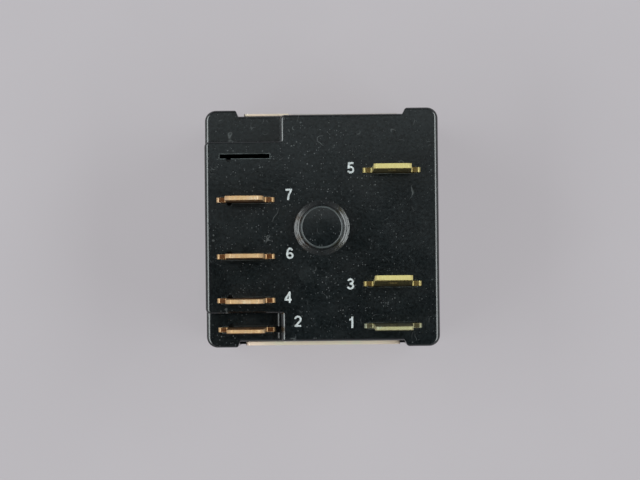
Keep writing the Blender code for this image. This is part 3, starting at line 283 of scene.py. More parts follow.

# %% [markdown]
# ## Metals
# The terminals are stamped from rolled strip. Rolling leaves fine lines along the strip, the punch
# leaves a rougher grey band on every cut edge, and handling leaves brown tarnish in clouds. The blade
# is also darkened towards its root, in its hole, on its lead-in and on its shoulders as painted shade,
# and the fillet at its root is kept bright as a painted highlight. The stamped pieces carry two numbers
# of their own, one for how far up the blade a point is and one for whether a face was cut; two more,
# for the painted shade and the painted highlight, are noted on each blade, and the finish reads all four.

# %% Mix the strip metals
def strip_metal(name, colour, tarnish_and_shade_colour, tip_colour, tip_glint_and_tint):
    made, tree, shader, place = start_finish(name, metallic=1.0)
    up_blade, cut_face = noted(tree, "up_blade"), noted(tree, "cut_face")
    painted_shade_share, painted_fillet_highlight = noted(tree, "painted_shade_share"), noted(tree, "painted_fillet_highlight")
    rolled = clouds(tree, stretched(tree, place, (5200.0, 5200.0, 160.0)), 1.0, 3.0)
    stains = clouds(tree, place, 420.0, 5.0, 0.65)
    # painted shade: the blade darkens towards its root, added to the real tarnish clouds
    shade_low_down = spread(tree, up_blade, 0.0, 0.5, 0.62, 0.0)
    tarnish_and_shade = spread(tree, sums(tree, "ADD", stains, shade_low_down), 0.55, 1.0, 0.0, 0.9)
    # painted highlight: the fillet at the blade's root is kept clear of tarnish and shade
    tarnish_and_shade = sums(tree, "SUBTRACT", tarnish_and_shade, painted_fillet_highlight)
    clean = mix(tree, spread(tree, rolled, 0.3, 0.7, 0.0, 0.30), colour, tarnish_and_shade_colour)
    sheared = clouds(tree, stretched(tree, place, (4200.0, 700.0, 4200.0)), 1.0, 2.0)
    # patches on the tip's end: a painted glint on copper, a greenish tint on the brasses
    tip = mix(tree, spread(tree, clouds(tree, place, 260.0, 2.0), 0.52, 0.66), tip_colour, tip_glint_and_tint)
    end_face = mix(tree, spread(tree, sheared, 0.35, 0.65, 0.0, 0.55), tip, colour)
    face = mix(tree, cut_face, clean, end_face)
    face = mix(tree, tarnish_and_shade, face, tarnish_and_shade_colour)
    # painted shade: a darker brown on the faces noted for it
    painted_shade = tuple(0.35 * part for part in tarnish_and_shade_colour)
    tree.links.new(mix(tree, sums(tree, "MULTIPLY", painted_shade_share, 0.9), face, painted_shade), shader.inputs["Base Color"])
    at_tip = spread(tree, up_blade, 0.86, 0.97, 0.22, 0.56)
    at_tip = sums(tree, "MAXIMUM", at_tip, sums(tree, "MULTIPLY", cut_face, 0.5))
    tree.links.new(sums(tree, "MULTIPLY_ADD", sheared, 0.16, at_tip), shader.inputs["Roughness"])
    grain = sums(tree, "ADD", sums(tree, "MULTIPLY", rolled, 0.5), sums(tree, "MULTIPLY", sheared, cut_face))
    bump(tree, shader, grain, 0.16, 0.00003)
    return made


# the last colour of each is the tip patch: on copper a painted glint
COPPER = strip_metal(
    "copper_strip", (0.72, 0.43, 0.21), (0.28, 0.105, 0.040), (0.72, 0.52, 0.29), (0.86, 0.72, 0.52))
BRASS = strip_metal(
    "brass_strip", (0.68, 0.57, 0.24), (0.28, 0.180, 0.060), (0.78, 0.70, 0.32), (0.62, 0.62, 0.34))
PALE_BRASS = strip_metal(
    "pale_brass_strip", (0.52, 0.50, 0.32), (0.20, 0.17, 0.09), (0.54, 0.51, 0.28), (0.44, 0.53, 0.46))
print("mixed", COPPER.name, BRASS.name, PALE_BRASS.name)

# %% [markdown]
# ## Zinc plate
# The strap is sheet steel with a yellow passivated zinc plate. The chromate film is so thin that it
# shows faint pink and green, which drift over the surface in soft clouds. Its cut ends are paler and
# less metallic, a painted highlight over the bare edge. The same recipe with other colours serves the
# plain iron, silver and bronze inside.

# %% Mix the plated and plain metals
def plated_metal(name, colour, first_tint, second_tint, roughness):
    made, tree, shader, place = start_finish(name, metallic=1.0)
    drift = clouds(tree, stretched(tree, place, (150.0, 150.0, 60.0)), 1.0, 3.0, 0.6)
    tinted = mix(tree, spread(tree, drift, 0.36, 0.50), first_tint, colour)
    tinted = mix(tree, spread(tree, drift, 0.52, 0.66), tinted, second_tint)
    spots = dust(tree, place, 700.0, 0.18)
    dull = tuple(part * 0.55 for part in colour)
    plate = mix(tree, sums(tree, "MULTIPLY", spots, 0.5), tinted, dull)
    cut_face = noted(tree, "cut_face")
    # cut ends: paler and less metallic than the plate, a painted highlight
    bare_and_highlight = tuple(1.32 * part for part in colour)
    tree.links.new(mix(tree, sums(tree, "MULTIPLY", cut_face, 0.45), plate, bare_and_highlight), shader.inputs["Base Color"])
    tree.links.new(spread(tree, cut_face, 0.0, 1.0, 1.0, 0.4), shader.inputs["Metallic"])
    grain = clouds(tree, stretched(tree, place, (3600.0, 3600.0, 240.0)), 1.0, 3.0)
    rolled = spread(tree, grain, 0.25, 0.75, roughness, roughness + 0.16)
    tree.links.new(sums(tree, "MULTIPLY_ADD", cut_face, 0.30, rolled), shader.inputs["Roughness"])
    bump(tree, shader, grain, 0.10, 0.00003)
    return made


ZINC = plated_metal("passivated_zinc", (0.78, 0.68, 0.54), (0.84, 0.62, 0.50), (0.65, 0.72, 0.56), 0.26)
IRON = plated_metal("plated_iron", (0.56, 0.56, 0.54), (0.50, 0.50, 0.49), (0.60, 0.59, 0.56), 0.34)
SILVER = plated_metal("contact_silver", (0.82, 0.81, 0.78), (0.74, 0.71, 0.66), (0.86, 0.85, 0.83), 0.26)
BRONZE = plated_metal("rolled_bronze", (0.66, 0.46, 0.28), (0.58, 0.38, 0.22), (0.70, 0.52, 0.34), 0.28)
print("mixed", ZINC.name, IRON.name, SILVER.name, BRONZE.name)

# %% [markdown]
# ## Inside finishes
# The bobbin is pale nylon, the sliding card brown phenolic, and the coil enamelled wire under amber
# film. They are closed in by the cover, but each still gets its own slow change of tone, roughness and
# skin, because the cover can be taken off the model.

# %% Mix the inside plastics
def soft_plastic(name, colour, second, roughness, scale):
    made, tree, shader, place = start_finish(name)
    tone = clouds(tree, place, scale, 4.0, 0.6)
    tree.links.new(mix(tree, tone, colour, second), shader.inputs["Base Color"])
    skin = clouds(tree, place, 12.0 * scale, 2.0)
    tree.links.new(spread(tree, skin, 0.3, 0.7, roughness, roughness + 0.15), shader.inputs["Roughness"])
    bump(tree, shader, skin, 0.12, 0.00004)
    return made


NYLON = soft_plastic("pale_nylon", (0.64, 0.60, 0.50), (0.74, 0.71, 0.62), 0.45, 150.0)
FIBRE = soft_plastic("brown_card", (0.17, 0.075, 0.035), (0.27, 0.13, 0.07), 0.50, 260.0)
FILM = soft_plastic("amber_film", (0.55, 0.36, 0.09), (0.66, 0.47, 0.15), 0.20, 120.0)
ENAMEL = soft_plastic("enamelled_wire", (0.36, 0.11, 0.04), (0.50, 0.19, 0.08), 0.22, 300.0)
SLOT_FINISH = {
    "black_plastic": BLACK, "copper_alloy": COPPER, "brass_sheet": BRASS, "zinc_plate": ZINC,
    "iron": IRON, "silver_alloy": SILVER, "spring_bronze": BRONZE, "nylon": NYLON,
    "enamelled_wire": ENAMEL, "amber_film": FILM, "fibre_card": FIBRE,
}
for part in frame["record"]["subparts"]:
    for holder in frame["nodes"][part["node"]].material_slots:
        holder.material = SLOT_FINISH[part["material_slot"]]

# %% [markdown]
# ## Helpers for shapes
# The pieces are modelled in millimetres, because whole numbers are easy to read and the cutting tools
# work best near that size, and shrunk to metres at the end. A loft through rings of points makes every
# solid: two rings make a prism, many round rings make a turned piece.

# %% Draw outlines and solids
ARC_STEPS = 10


def rounded(corners, steps=ARC_STEPS):
    """Outline through corners given as two coordinates and a radius."""
    outline = []
    for index, (x, y, radius) in enumerate(corners):
        corner = Vector((x, y))
        if radius <= 0:
            outline.append(corner)
            continue
        back = (Vector(corners[index - 1][:2]) - corner).normalized()
        ahead = (Vector(corners[(index + 1) % len(corners)][:2]) - corner).normalized()
        half = back.angle(ahead) / 2
        centre = corner + (back + ahead).normalized() * (radius / math.sin(half))
        first = corner + back * (radius / math.tan(half)) - centre
        last = corner + ahead * (radius / math.tan(half)) - centre
        sweep = first.angle_signed(last)
        for step in range(steps + 1):
            outline.append(centre + Matrix.Rotation(-sweep * step / steps, 2) @ first)
    return [point for index, point in enumerate(outline) if (point - outline[index - 1]).length > 1e-4]


def along(axis, u, v, distance):
    return Vector({"X": (distance, u, v), "Y": (u, distance, v), "Z": (u, v, distance)}[axis])


def loft(rings):
    """Closed solid through rings of points, with a flat cap at each end."""
    mesh = bmesh.new()
    loops = [[mesh.verts.new(point) for point in ring] for ring in rings]
    count = len(loops[0])
    mesh.faces.new(loops[0])
    mesh.faces.new(loops[-1])
    for near, far in zip(loops, loops[1:]):
        for index in range(count):
            ahead = (index + 1) % count
            mesh.faces.new((near[index], near[ahead], far[ahead], far[index]))
    bmesh.ops.recalc_face_normals(mesh, faces=mesh.faces)
    return mesh


def prism(outline, start, end, axis="Z"):
    return loft([[along(axis, u, v, level) for u, v in outline] for level in (start, end)])


def block(x_range, y_range, z_range):
    (x0, x1), (y0, y1) = x_range, y_range
    return prism([(x0, y0), (x1, y0), (x1, y1), (x0, y1)], *z_range)


def turned(profile, centre=(0.0, 0.0), steps=72):
    """Solid turned about an upright axis, from radius and height."""
    turns = [2 * math.pi * step / steps for step in range(steps)]
    return loft([
        [(centre[0] + r * math.cos(a), centre[1] + r * math.sin(a), z) for a in turns] for r, z in profile
    ])


def gather(parts):
    """Several solids that don't touch, as one cutting tool."""
    whole = bmesh.new()
    for part in parts:
        scratch = bpy.data.meshes.new("scratch")
        part.to_mesh(scratch)
        part.free()
        whole.from_mesh(scratch)
        bpy.data.meshes.remove(scratch)
    return whole


print("shape helpers ready")

# %% Cut, join, soften and finish
SHARP_ANGLE = math.radians(70)


def body_from(name, mesh_data):
    mesh = bpy.data.meshes.new(name)
    mesh_data.to_mesh(mesh)
    mesh_data.free()
    made = bpy.data.objects.new(name, mesh)
    scene.collection.objects.link(made)
    return made


def settle(piece):
    """Turn what the modifiers show into the piece's plain mesh."""
    graph = bpy.context.evaluated_depsgraph_get()
    shaped = bpy.data.meshes.new_from_object(piece.evaluated_get(graph))
    piece.modifiers.clear()
    old = piece.data
    piece.data = shaped
    if old.users == 0 and isinstance(old, bpy.types.Mesh):
        bpy.data.meshes.remove(old)


def volume(piece):
    measured = bmesh.new()
    measured.from_mesh(piece.data)
    held = measured.calc_volume(signed=True)
    measured.free()
    return held


def combine(piece, tool_mesh, operation):
    tool = body_from("tool", tool_mesh)
    boolean = piece.modifiers.new(operation, "BOOLEAN")
    boolean.solver = "EXACT"
    boolean.operation = operation
    boolean.object = tool
    settle(piece)
    bpy.data.objects.remove(tool, do_unlink=True)
    print(piece.name, operation.lower(), "leaves", round(volume(piece), 1), "cubic mm")


def cut(piece, tool_mesh):
    combine(piece, tool_mesh, "DIFFERENCE")


def join(piece, tool_mesh):
    combine(piece, tool_mesh, "UNION")


def soften(piece, radius, segments, angle=SHARP_ANGLE):
    edges = piece.modifiers.new("edges", "BEVEL")
    edges.width = radius
    edges.segments = segments
    edges.limit_method = "ANGLE"
    edges.angle_limit = angle
    settle(piece)


def note_faces(piece, name, amount):
    """Write on each face the amount found from its middle and direction, for a finish to read."""
    values = [float(amount(face.center, face.normal)) for face in piece.data.polygons]
    piece.data.attributes.new(name, "FLOAT", "FACE").data.foreach_set("value", values)
    print(piece.name, name, "on", sum(value > 0 for value in values), "faces")


def finish_piece(piece, finish, body, slot, *nodes, smooth=40):
    """Shrink to metres, keep flat faces flat, and stand for the measured nodes."""
    piece.data.transform(Matrix.Scale(MM, 4))
    piece.data.shade_smooth()
    piece.data.set_sharp_from_angle(angle=math.radians(smooth))
    flats = piece.modifiers.new("flats", "WEIGHTED_NORMAL")
    flats.keep_sharp = True
    settle(piece)
    piece.data.materials.clear()
    piece.data.materials.append(finish)
    if body:
        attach(piece, body)
    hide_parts(*nodes)
    print(piece.name, len(piece.data.polygons), "faces, stands for", ", ".join(nodes))


print("cutting helpers ready")

# %% [markdown]
# ## The moulded base
# The base is one moulding: a rounded square tray with a lug at each corner, a recess in two sides for
# the strap, two low pads at the left corners, and slots for the blades. Its soft edges are what the eye
# reads first, so they are not left to a general bevel. Each block is lofted through rings of its own
# plan, every ring a little smaller than the one below, which rounds the edge exactly as far as wanted.

# %% Draw the plan of the housing
HALF_X, HALF_Y, CHANNEL_Y = 19.2, 19.6, 18.6
LUG_X, LUG_SLOPE, LUG_RADIUS, CORNER_RADIUS = 13.9, 0.5, 0.5, 1.8
LEFT_LUG = (14.1, 0.36, 0.3)
FACE_Z, RIM_Z, PAD_Z, FLOOR_Z = 34.0, 26.0, 31.2, 29.4
PAD_X, PAD_HIGH_Y, PAD_LOW_Y = -6.8, 14.3, -14.0
BEYOND, FAR = 5.0, 25.0
LEAST_RADIUS = 0.04


def lug_corners(x_side, y_side):
    """Corner of the housing with its lug, in anticlockwise order. The left lugs are a little steeper."""
    lug_x, slope, radius = (LUG_X, LUG_SLOPE, LUG_RADIUS) if x_side > 0 else LEFT_LUG
    quarter = [
        (HALF_X, HALF_Y, CORNER_RADIUS), (lug_x, HALF_Y, radius), (lug_x - slope, CHANNEL_Y, LEAST_RADIUS)
    ]
    turn = quarter if x_side == y_side else quarter[::-1]
    return [(x * x_side, y * y_side, radius) for x, y, radius in turn]


def inset(corners, by_x, by_y):
    """Move the straight edges of a plan inwards, by one distance in X and another in Y."""
    moved = []
    for index, (x, y, radius) in enumerate(corners):
        here = Vector((x, y))
        into = (here - Vector(corners[index - 1][:2])).normalized()
        out = (Vector(corners[(index + 1) % len(corners)][:2]) - here).normalized()
        sides = [Vector((-edge.y, edge.x)) for edge in (into, out)]
        slanted = [min(abs(side.x), abs(side.y)) > 0.2 for side in sides]
        far_in, far_out = [
            0.0 if slant else abs(side.x) * by_x + abs(side.y) * by_y for side, slant in zip(sides, slanted)
        ]
        turn = into.cross(out)
        shift_x = (far_in * sides[1].y - far_out * sides[0].y) / turn
        shift_y = (far_out * sides[0].x - far_in * sides[1].x) / turn
        shrunk = radius - max(far_in, far_out) if turn > 0 else radius + min(far_in, far_out)
        moved.append((x + shift_x, y + shift_y, max(shrunk, LEAST_RADIUS)))
    return moved


def soft_block(corners, low, high, low_edge, high_edge, steps=8):
    """Upright block of a plan, with edges rounded by (in X, in Y, upright) amounts."""
    quarter = [math.pi / 2 * step / steps for step in range(steps + 1)]
    rings = []
    for (x, y, rise), level, up in ((low_edge, low, 1), (high_edge, high, -1)):
        edge = []
        for turn in quarter:
            shrink = 1 - math.cos(turn)
            height = level + up * rise * (1 - math.sin(turn))
            edge.append([(*point, height) for point in rounded(inset(corners, x * shrink, y * shrink))])
        rings += edge[::-1] if up > 0 else edge
    return loft(rings)


HOUSING = lug_corners(1, 1) + lug_corners(-1, 1) + lug_corners(-1, -1) + lug_corners(1, -1)
print("plan of the housing has", len(HOUSING), "corners")

# %% Shape the base from outside
RIM_EDGE, FACE_EDGE, PAD_EDGE = (0.2, 0.2, 0.2), (0.78, 0.42, 0.6), (0.78, 0.42, 0.5)
face_plan = lug_corners(1, 1) + [
    (PAD_X, CHANNEL_Y, 0.9), (PAD_X, PAD_HIGH_Y, 0.25), (-HALF_X, PAD_HIGH_Y, 0.85),
    (-HALF_X, PAD_LOW_Y, 0.85), (PAD_X, PAD_LOW_Y, 0.25), (PAD_X, -CHANNEL_Y, 0.55),
] + lug_corners(1, -1)
base = body_from("moulded_base", soft_block(face_plan, RIM_Z, FACE_Z, RIM_EDGE, FACE_EDGE))
inner_x, inner_y = PAD_X + 1.5, 12.5
pads = [
    lug_corners(-1, 1) + [(-HALF_X, inner_y, 0.3), (inner_x, inner_y, 0.3), (inner_x, CHANNEL_Y, 0.3)],
    lug_corners(-1, -1) + [(inner_x, -CHANNEL_Y, 0.3), (inner_x, -inner_y, 0.3), (-HALF_X, -inner_y, 0.3)],
]
for pad in pads:
    join(base, soft_block(pad, RIM_Z, PAD_Z, RIM_EDGE, PAD_EDGE))
LEDGE_X, LEDGE_Z = PAD_X - 0.7, PAD_Z + 1.0
ledge = rounded([
    (LEDGE_X, PAD_Z - 0.4, 0), (PAD_X + 0.4, PAD_Z - 0.4, 0), (PAD_X + 0.4, LEDGE_Z, 0), (LEDGE_X, LEDGE_Z, 0.35),
])
join(base, prism(ledge, 0.45 - CHANNEL_Y, 0.4 + PAD_LOW_Y, "Y"))
print("outside of the base:", len(base.data.polygons), "faces")

# %% [markdown]
# ### Slots and boss
# Each blade comes up through a slot, and the eighth slot is empty on this type. A real slot has a fine
# bevelled mouth, which shows as a thin pale line round the black opening, so the slot tool flares at
# the face. The boss in the middle is a turned shape on a sloping foot, and beside it the pin that
# pushed the moulding out of its mould left a shallow round mark.

# %% Cut the slots and add the boss
LEFT_X, RIGHT_X = -12.5, 11.5
ROWS = {
    1: (RIGHT_X, -16.2, FACE_Z), 2: (LEFT_X, -16.65, PAD_Z), 3: (RIGHT_X, -9.3, FACE_Z),
    4: (LEFT_X, -11.85, FACE_Z), 5: (RIGHT_X, 9.3, FACE_Z), 6: (LEFT_X, -4.65, FACE_Z),
    7: (LEFT_X, 4.65, FACE_Z), 8: (LEFT_X - 0.09, 11.85, FACE_Z),
}
SLOT_HALF_X, SLOT_HALF_Y, FLARE = 4.025, 0.5, 0.11
EMPTY_SLOT, EMPTY_HALF_X, EMPTY_HALF_Y = 8, 4.12, 0.36


def rectangle(half_x, low_y, high_y, radius):
    return rounded([
        (half_x, low_y, radius), (half_x, high_y, radius), (-half_x, high_y, radius), (-half_x, low_y, radius),
    ])


def slot_tool(number):
    column, row, seat = ROWS[number]
    half_x, half_y = (EMPTY_HALF_X, EMPTY_HALF_Y) if number == EMPTY_SLOT else (SLOT_HALF_X, SLOT_HALF_Y)
    rings = []
    for grow, z in ((0, FLOOR_Z - BEYOND), (0, seat - FLARE), (FLARE, seat), (FLARE, FACE_Z + BEYOND)):
        x, y = half_x + grow, half_y + grow
        rings.append([(column + x * u, row + y * v, z) for u, v in ((-1, -1), (1, -1), (1, 1), (-1, 1))])
    return loft(rings)


def notch_tool(column, row, seat):
    """Half-round relief beside a slot, on the side of it that faces the middle."""
    middle = -1 if row > 0 else 1
    centre = (column - SLOT_HALF_X + 1.35, row + middle * SLOT_HALF_Y)
    return turned([(0.43, max(seat - 3.5, FLOOR_Z + 0.5)), (0.43, FACE_Z + BEYOND)], centre, 20)


cut(base, gather([slot_tool(number) for number in ROWS]))
cut(base, gather([notch_tool(*place) for place in ROWS.values() if place[0] < 0]))
cut(base, block((LEDGE_X - 0.1, PAD_X), (-17.15, -16.15), (PAD_Z - 0.6, FACE_Z + BEYOND)))
boss = rounded([
    (0.5, FACE_Z - 0.4, 0), (4.55, FACE_Z - 0.4, 0), (4.55, FACE_Z, 0), (3.75, FACE_Z + 0.35, 0.06),
    (3.43, FACE_Z + 3.0, 0.34), (0.5, FACE_Z + 3.0, 0),
], 8)
join(base, turned(boss, steps=96))
PIN_MARK, PIN_DEPTH = (-2.52, -7.68), 0.04
cut(base, turned([(1.40, FACE_Z - PIN_DEPTH), (1.56, FACE_Z), (1.56, FACE_Z + 0.5)], PIN_MARK, 64))
print("slots:", len(ROWS), "boss points:", len(boss))

# %% Hollow the base
join(base, prism(rectangle(17.7, -13.0, 17.1, 1.0), RIM_Z - 2.5, RIM_Z + 0.4))
cut(base, prism(rectangle(17.0, -17.2, 15.6, 0.5), RIM_Z - BEYOND, FLOOR_Z))
join(base, block((-17.35, 17.35), (-0.6, 0.6), (21.3, FLOOR_Z + 0.4)))
cut(base, gather([block(x, (-15.7, -13.5), (FLOOR_Z - 0.4, FLOOR_Z + 2.6)) for x in ((-5.2, -2.2), (2.2, 5.2))]))
CATCH_TOP = 28.4
CATCHES = ((-1, 0.0), (1, -9.85))
for side, centre_x in CATCHES:
    wedge = [
        (side * (CHANNEL_Y - 0.4), CATCH_TOP - 1.5), (side * CHANNEL_Y, CATCH_TOP - 1.5),
        (side * (CHANNEL_Y + 0.45), CATCH_TOP), (side * (CHANNEL_Y - 0.4), CATCH_TOP),
    ]
    join(base, prism(wedge, centre_x - 1.5, centre_x + 1.5, "X"))


def pale_rim_faces(centre, normal):
    """Pale rim share: full on the slot mouths, less on the rim of the boss as a painted highlight, a trace in the
    pin mark.
    """
    if (centre.xy - Vector(PIN_MARK)).length < 1.4 and centre.z < FACE_Z:
        return 0.045
    if centre.z > FACE_Z + 2.5:
        return 0.6 * (0.2 < normal.z < 0.98)
    beside = any(
        abs(centre.x - column) < EMPTY_HALF_X + FLARE and abs(centre.y - row) < SLOT_HALF_Y + FLARE
        for column, row, _ in ROWS.values()
    )
    return beside and 0.3 < normal.z < 0.9


def boss_foot(centre, normal):
    return centre.xy.length < 4.6 and FACE_Z + 0.02 < centre.z < FACE_Z + 0.34


note_faces(base, "pale_rim", pale_rim_faces)
note_faces(base, "turned", boss_foot)
finish_piece(base, BLACK, "housing", "black_plastic", "base", smooth=18)

# %% [markdown]
# ## The cover
# The cover is a deep box in the same plan, a hair smaller than the base so that a fine seam shows all
# round. The strap lies in a channel over its roof, which is the side the relay rests on, and a guide rib
# stands at each edge of its wide leg. The cover is made as the base is: a soft block, then cut.

# %% Make the cover
SEAM, ROOF_EDGE = 0.1, (0.45, 0.45, 0.45)
cover = body_from("moulded_cover", soft_block(inset(HOUSING, SEAM, SEAM), 0.0, RIM_Z - 0.15, ROOF_EDGE, RIM_EDGE))
cut(cover, prism(rectangle(17.8, -17.2, 17.2, 1.0), 2.3, RIM_Z + BEYOND))
BEND, SHOULDER_Y = 0.9, CHANNEL_Y - SEAM
cut(cover, prism(rounded([
    (-FAR, -BEYOND, 0), (FAR, -BEYOND, 0), (FAR, 1.0 + BEND, 0), (SHOULDER_Y, 1.0 + BEND, 0),
    (SHOULDER_Y, 1.0, BEND), (-SHOULDER_Y, 1.0, BEND), (-SHOULDER_Y, 1.0 + BEND, 0), (-FAR, 1.0 + BEND, 0),
]), -LUG_X, LUG_X, "X"))
for rib_x in (-5.0, 5.0):
    join(cover, block((rib_x - 0.6, rib_x + 0.6), (-13.6, 10.1), (1.9, 3.3)))
GUIDES_X, GUIDE_Y, GUIDE_Z = ((-14.2, -12.85), (12.85, 14.0)), (-19.15, -18.0), (2.2, RIM_Z - 0.4)
for guide_x in GUIDES_X:
    join(cover, block(guide_x, GUIDE_Y, GUIDE_Z))
finish_piece(cover, BLACK, "housing", "black_plastic", "cover", smooth=18)

# %% [markdown]
# ## The strap
# A strip of plated sheet steel runs round the cover and snaps over a catch at each side, which is what
# holds the relay together. It is a bent profile of even thickness, swept across its width. One leg is
# cut away to a narrow tongue that thins towards its end, each leg has a window for its catch and
# rounded corners, and the punched edges are broken.

# %% Bend the strap
STRAP_IN, STRAP_OUT, STRAP_HALF, STRAP_END = 18.7, 19.3, 12.75, 30.0
strap = body_from("plated_strap", prism(rounded([
    (-STRAP_OUT, STRAP_END, 0), (-STRAP_OUT, 0.3, 1.7), (STRAP_OUT, 0.3, 1.7), (STRAP_OUT, STRAP_END, 0),
    (STRAP_IN, STRAP_END, 0), (STRAP_IN, 0.9, 1.1), (-STRAP_IN, 0.9, 1.1), (-STRAP_IN, STRAP_END, 0),
]), -STRAP_HALF, STRAP_HALF, "X"))
LEG, TONGUE_X, TAPER_Z, TAPER = (CHANNEL_Y - 0.4, FAR), -5.4, 26.0, 0.26
cut(strap, block((TONGUE_X, FAR), LEG, (24.5, STRAP_END + BEYOND)))
cut(strap, prism([
    (FAR, TAPER_Z), (STRAP_OUT, TAPER_Z), (STRAP_OUT - TAPER, STRAP_END), (STRAP_OUT - TAPER, STRAP_END + BEYOND),
    (FAR, STRAP_END + BEYOND),
], -FAR, FAR, "X"))
for side, centre_x in CATCHES:
    leg = sorted((side * LEG[0], side * LEG[1]))
    cut(strap, block((centre_x - 1.7, centre_x + 1.7), leg, (26.7, 28.5)))
CORNER_ROUND = 0.7


def corner_tool(side_x, leg_y):
    """What a rounded corner at the end of a leg leaves out."""
    inner = STRAP_HALF - CORNER_ROUND
    quarter = [math.pi / 2 * step / 8 for step in range(9)]
    outline = [(FAR, STRAP_END - CORNER_ROUND)]
    outline += [(inner + CORNER_ROUND * math.cos(a), STRAP_END + CORNER_ROUND * (math.sin(a) - 1)) for a in quarter]
    outline += [(inner, STRAP_END + BEYOND), (FAR, STRAP_END + BEYOND)]
    return prism([(side_x * x, z) for x, z in outline], *leg_y, "Y")


for side_x, side_y in ((-1, -1), (1, -1), (-1, 1)):
    cut(strap, corner_tool(side_x, sorted((side_y * LEG[0], side_y * LEG[1]))))
soften(strap, 0.12, 3)
note_faces(strap, "cut_face", lambda centre, normal: normal.z > 0.3 and centre.z > STRAP_END - 0.3)
finish_piece(strap, ZINC, "housing", "zinc_plate", "retaining_strap")

# %% [markdown]
# ## The blades
# All seven terminals are stamped the same way: an outline is punched from strip, a hole is pierced for
# the socket's detent, the blade is bent a little at the root on some, and the edges are left slightly
# rounded. That is a rule, so one node tree makes them all. It fills a drawn outline, thickens it,
# leans it, notes which faces were cut and how far up each point is, and marks the edges to break.

# %% Build the stamping tree
def start_tree(name, source, result, sizes):
    """New node tree, what its inputs give, and the identifier of each input."""
    tree = bpy.data.node_groups.new(name, "GeometryNodeTree")
    sockets = [(source, "Geometry", None)] + [(size, "Float", value) for size, value in sizes.items()]
    identifiers = {}
    for label, kind, value in sockets + [("Finish", "Material", None)]:
        socket = tree.interface.new_socket(label, in_out="INPUT", socket_type="NodeSocket" + kind)
        if value is not None:
            socket.default_value = value
        identifiers[label] = socket.identifier
    tree.interface.new_socket(result, in_out="OUTPUT", socket_type="NodeSocketGeometry")
    return tree, add(tree, "NodeGroupInput").outputs, identifiers


def end_tree(tree, shape, finish):
    real = add(tree, "GeometryNodeRealizeInstances", {"Geometry": shape.outputs[0]})
    dressed = add(tree, "GeometryNodeSetMaterial", {"Geometry": real.outputs[0], "Material": finish})
    add(tree, "NodeGroupOutput", {0: dressed.outputs[0]})


def stamping_tree():
    tree, given, identifiers = start_tree("stamped_blade", "Outline", "Blade", {
        "Thickness": 0.8, "Column": 0.0, "Row": 0.0, "Bend height": 1.3, "Lean": 0.0,
        "Seat height": FACE_Z, "Length": 9.6, "Lead in": 1.0})

    def maths(operation, first, second, third=0.0):
        return sums(tree, operation, first, second, third)

    group = add(tree, "FunctionNodeFloatToInt", {0: add(tree, "GeometryNodeInputRadius").outputs[0]})
    sheet = add(tree, "GeometryNodeFillCurve", {
        "Curve": given["Outline"], "Group ID": group.outputs[0]}, mode="NGONS")
    sheet = add(tree, "GeometryNodeMergeByDistance", {"Geometry": sheet.outputs[0], "Distance": 0.002})
    upright = add(tree, "GeometryNodeTransform", {
        "Geometry": sheet.outputs[0], "Rotation": (math.pi / 2, 0.0, 0.0)})
    punched = add(tree, "GeometryNodeExtrudeMesh", {
        "Mesh": upright.outputs[0], "Offset Scale": given["Thickness"], "Individual": False})
    noted = add(tree, "GeometryNodeStoreNamedAttribute", {
        "Geometry": punched.outputs[0], "Name": "cut_face", "Value": punched.outputs["Side"]},
        data_type="FLOAT", domain="FACE")
    back = add(tree, "GeometryNodeFlipFaces", {"Mesh": upright.outputs[0]})
    both = add(tree, "GeometryNodeJoinGeometry", {0: back.outputs[0]})
    tree.links.new(noted.outputs[0], both.inputs[0])
    closed = add(tree, "GeometryNodeMergeByDistance", {"Geometry": both.outputs[0], "Distance": 0.002})
    place = add(tree, "ShaderNodeSeparateXYZ", {0: add(tree, "GeometryNodeInputPosition").outputs[0]}).outputs
    height = place["Z"]
    above = maths("MAXIMUM", maths("SUBTRACT", height, given["Bend height"]), 0.0)
    offset = maths("MULTIPLY_ADD", given["Thickness"], 0.5, given["Row"])
    offset = maths("ADD", offset, maths("MULTIPLY", above, given["Lean"]))
    shift = add(tree, "ShaderNodeCombineXYZ", {"Y": offset})
    leaning = add(tree, "GeometryNodeSetPosition", {"Geometry": closed.outputs[0], "Offset": shift.outputs[0]})
    up_blade = maths("DIVIDE", maths("SUBTRACT", height, given["Seat height"]), given["Length"])
    marked = add(tree, "GeometryNodeStoreNamedAttribute", {
        "Geometry": leaning.outputs[0], "Name": "up_blade", "Value": up_blade}, data_type="FLOAT", domain="POINT")
    corner = maths("GREATER_THAN", add(tree, "GeometryNodeInputMeshEdgeAngle").outputs["Unsigned Angle"], 0.6)
    aside = maths("ABSOLUTE", maths("SUBTRACT", place["X"], given["Column"]), 0.0)
    off_hole = maths("MAXIMUM", maths("GREATER_THAN", aside, 1.0), maths("GREATER_THAN", up_blade, 0.9))
    corner = maths("MULTIPLY", corner, off_hole)
    lead_in = maths("MAXIMUM", maths("MULTIPLY", maths("GREATER_THAN", up_blade, 0.94), given["Lead in"]), 0.30)
    broken = add(tree, "GeometryNodeStoreNamedAttribute", {
        "Geometry": marked.outputs[0], "Name": "bevel_weight_edge", "Value": maths("MULTIPLY", corner, lead_in)},
        data_type="FLOAT", domain="EDGE")
    end_tree(tree, broken, given["Finish"])
    return tree, identifiers


STAMPING = stamping_tree()
print("stamping tree:", len(STAMPING[0].nodes), "nodes")

# %% [markdown]
# ### Outlines of the seven terminals
# Outside, every blade has a shoulder that rests on the base, a fillet, and corners cut off at the tip.
# Inside there are three kinds: a pad that carries a fixed contact, an arm that a contact blade is
# riveted to, and a narrow tail for the coil's wire. The outline is drawn in two loops that share the
# bend line, because a sheet can only bend along a line that is there.

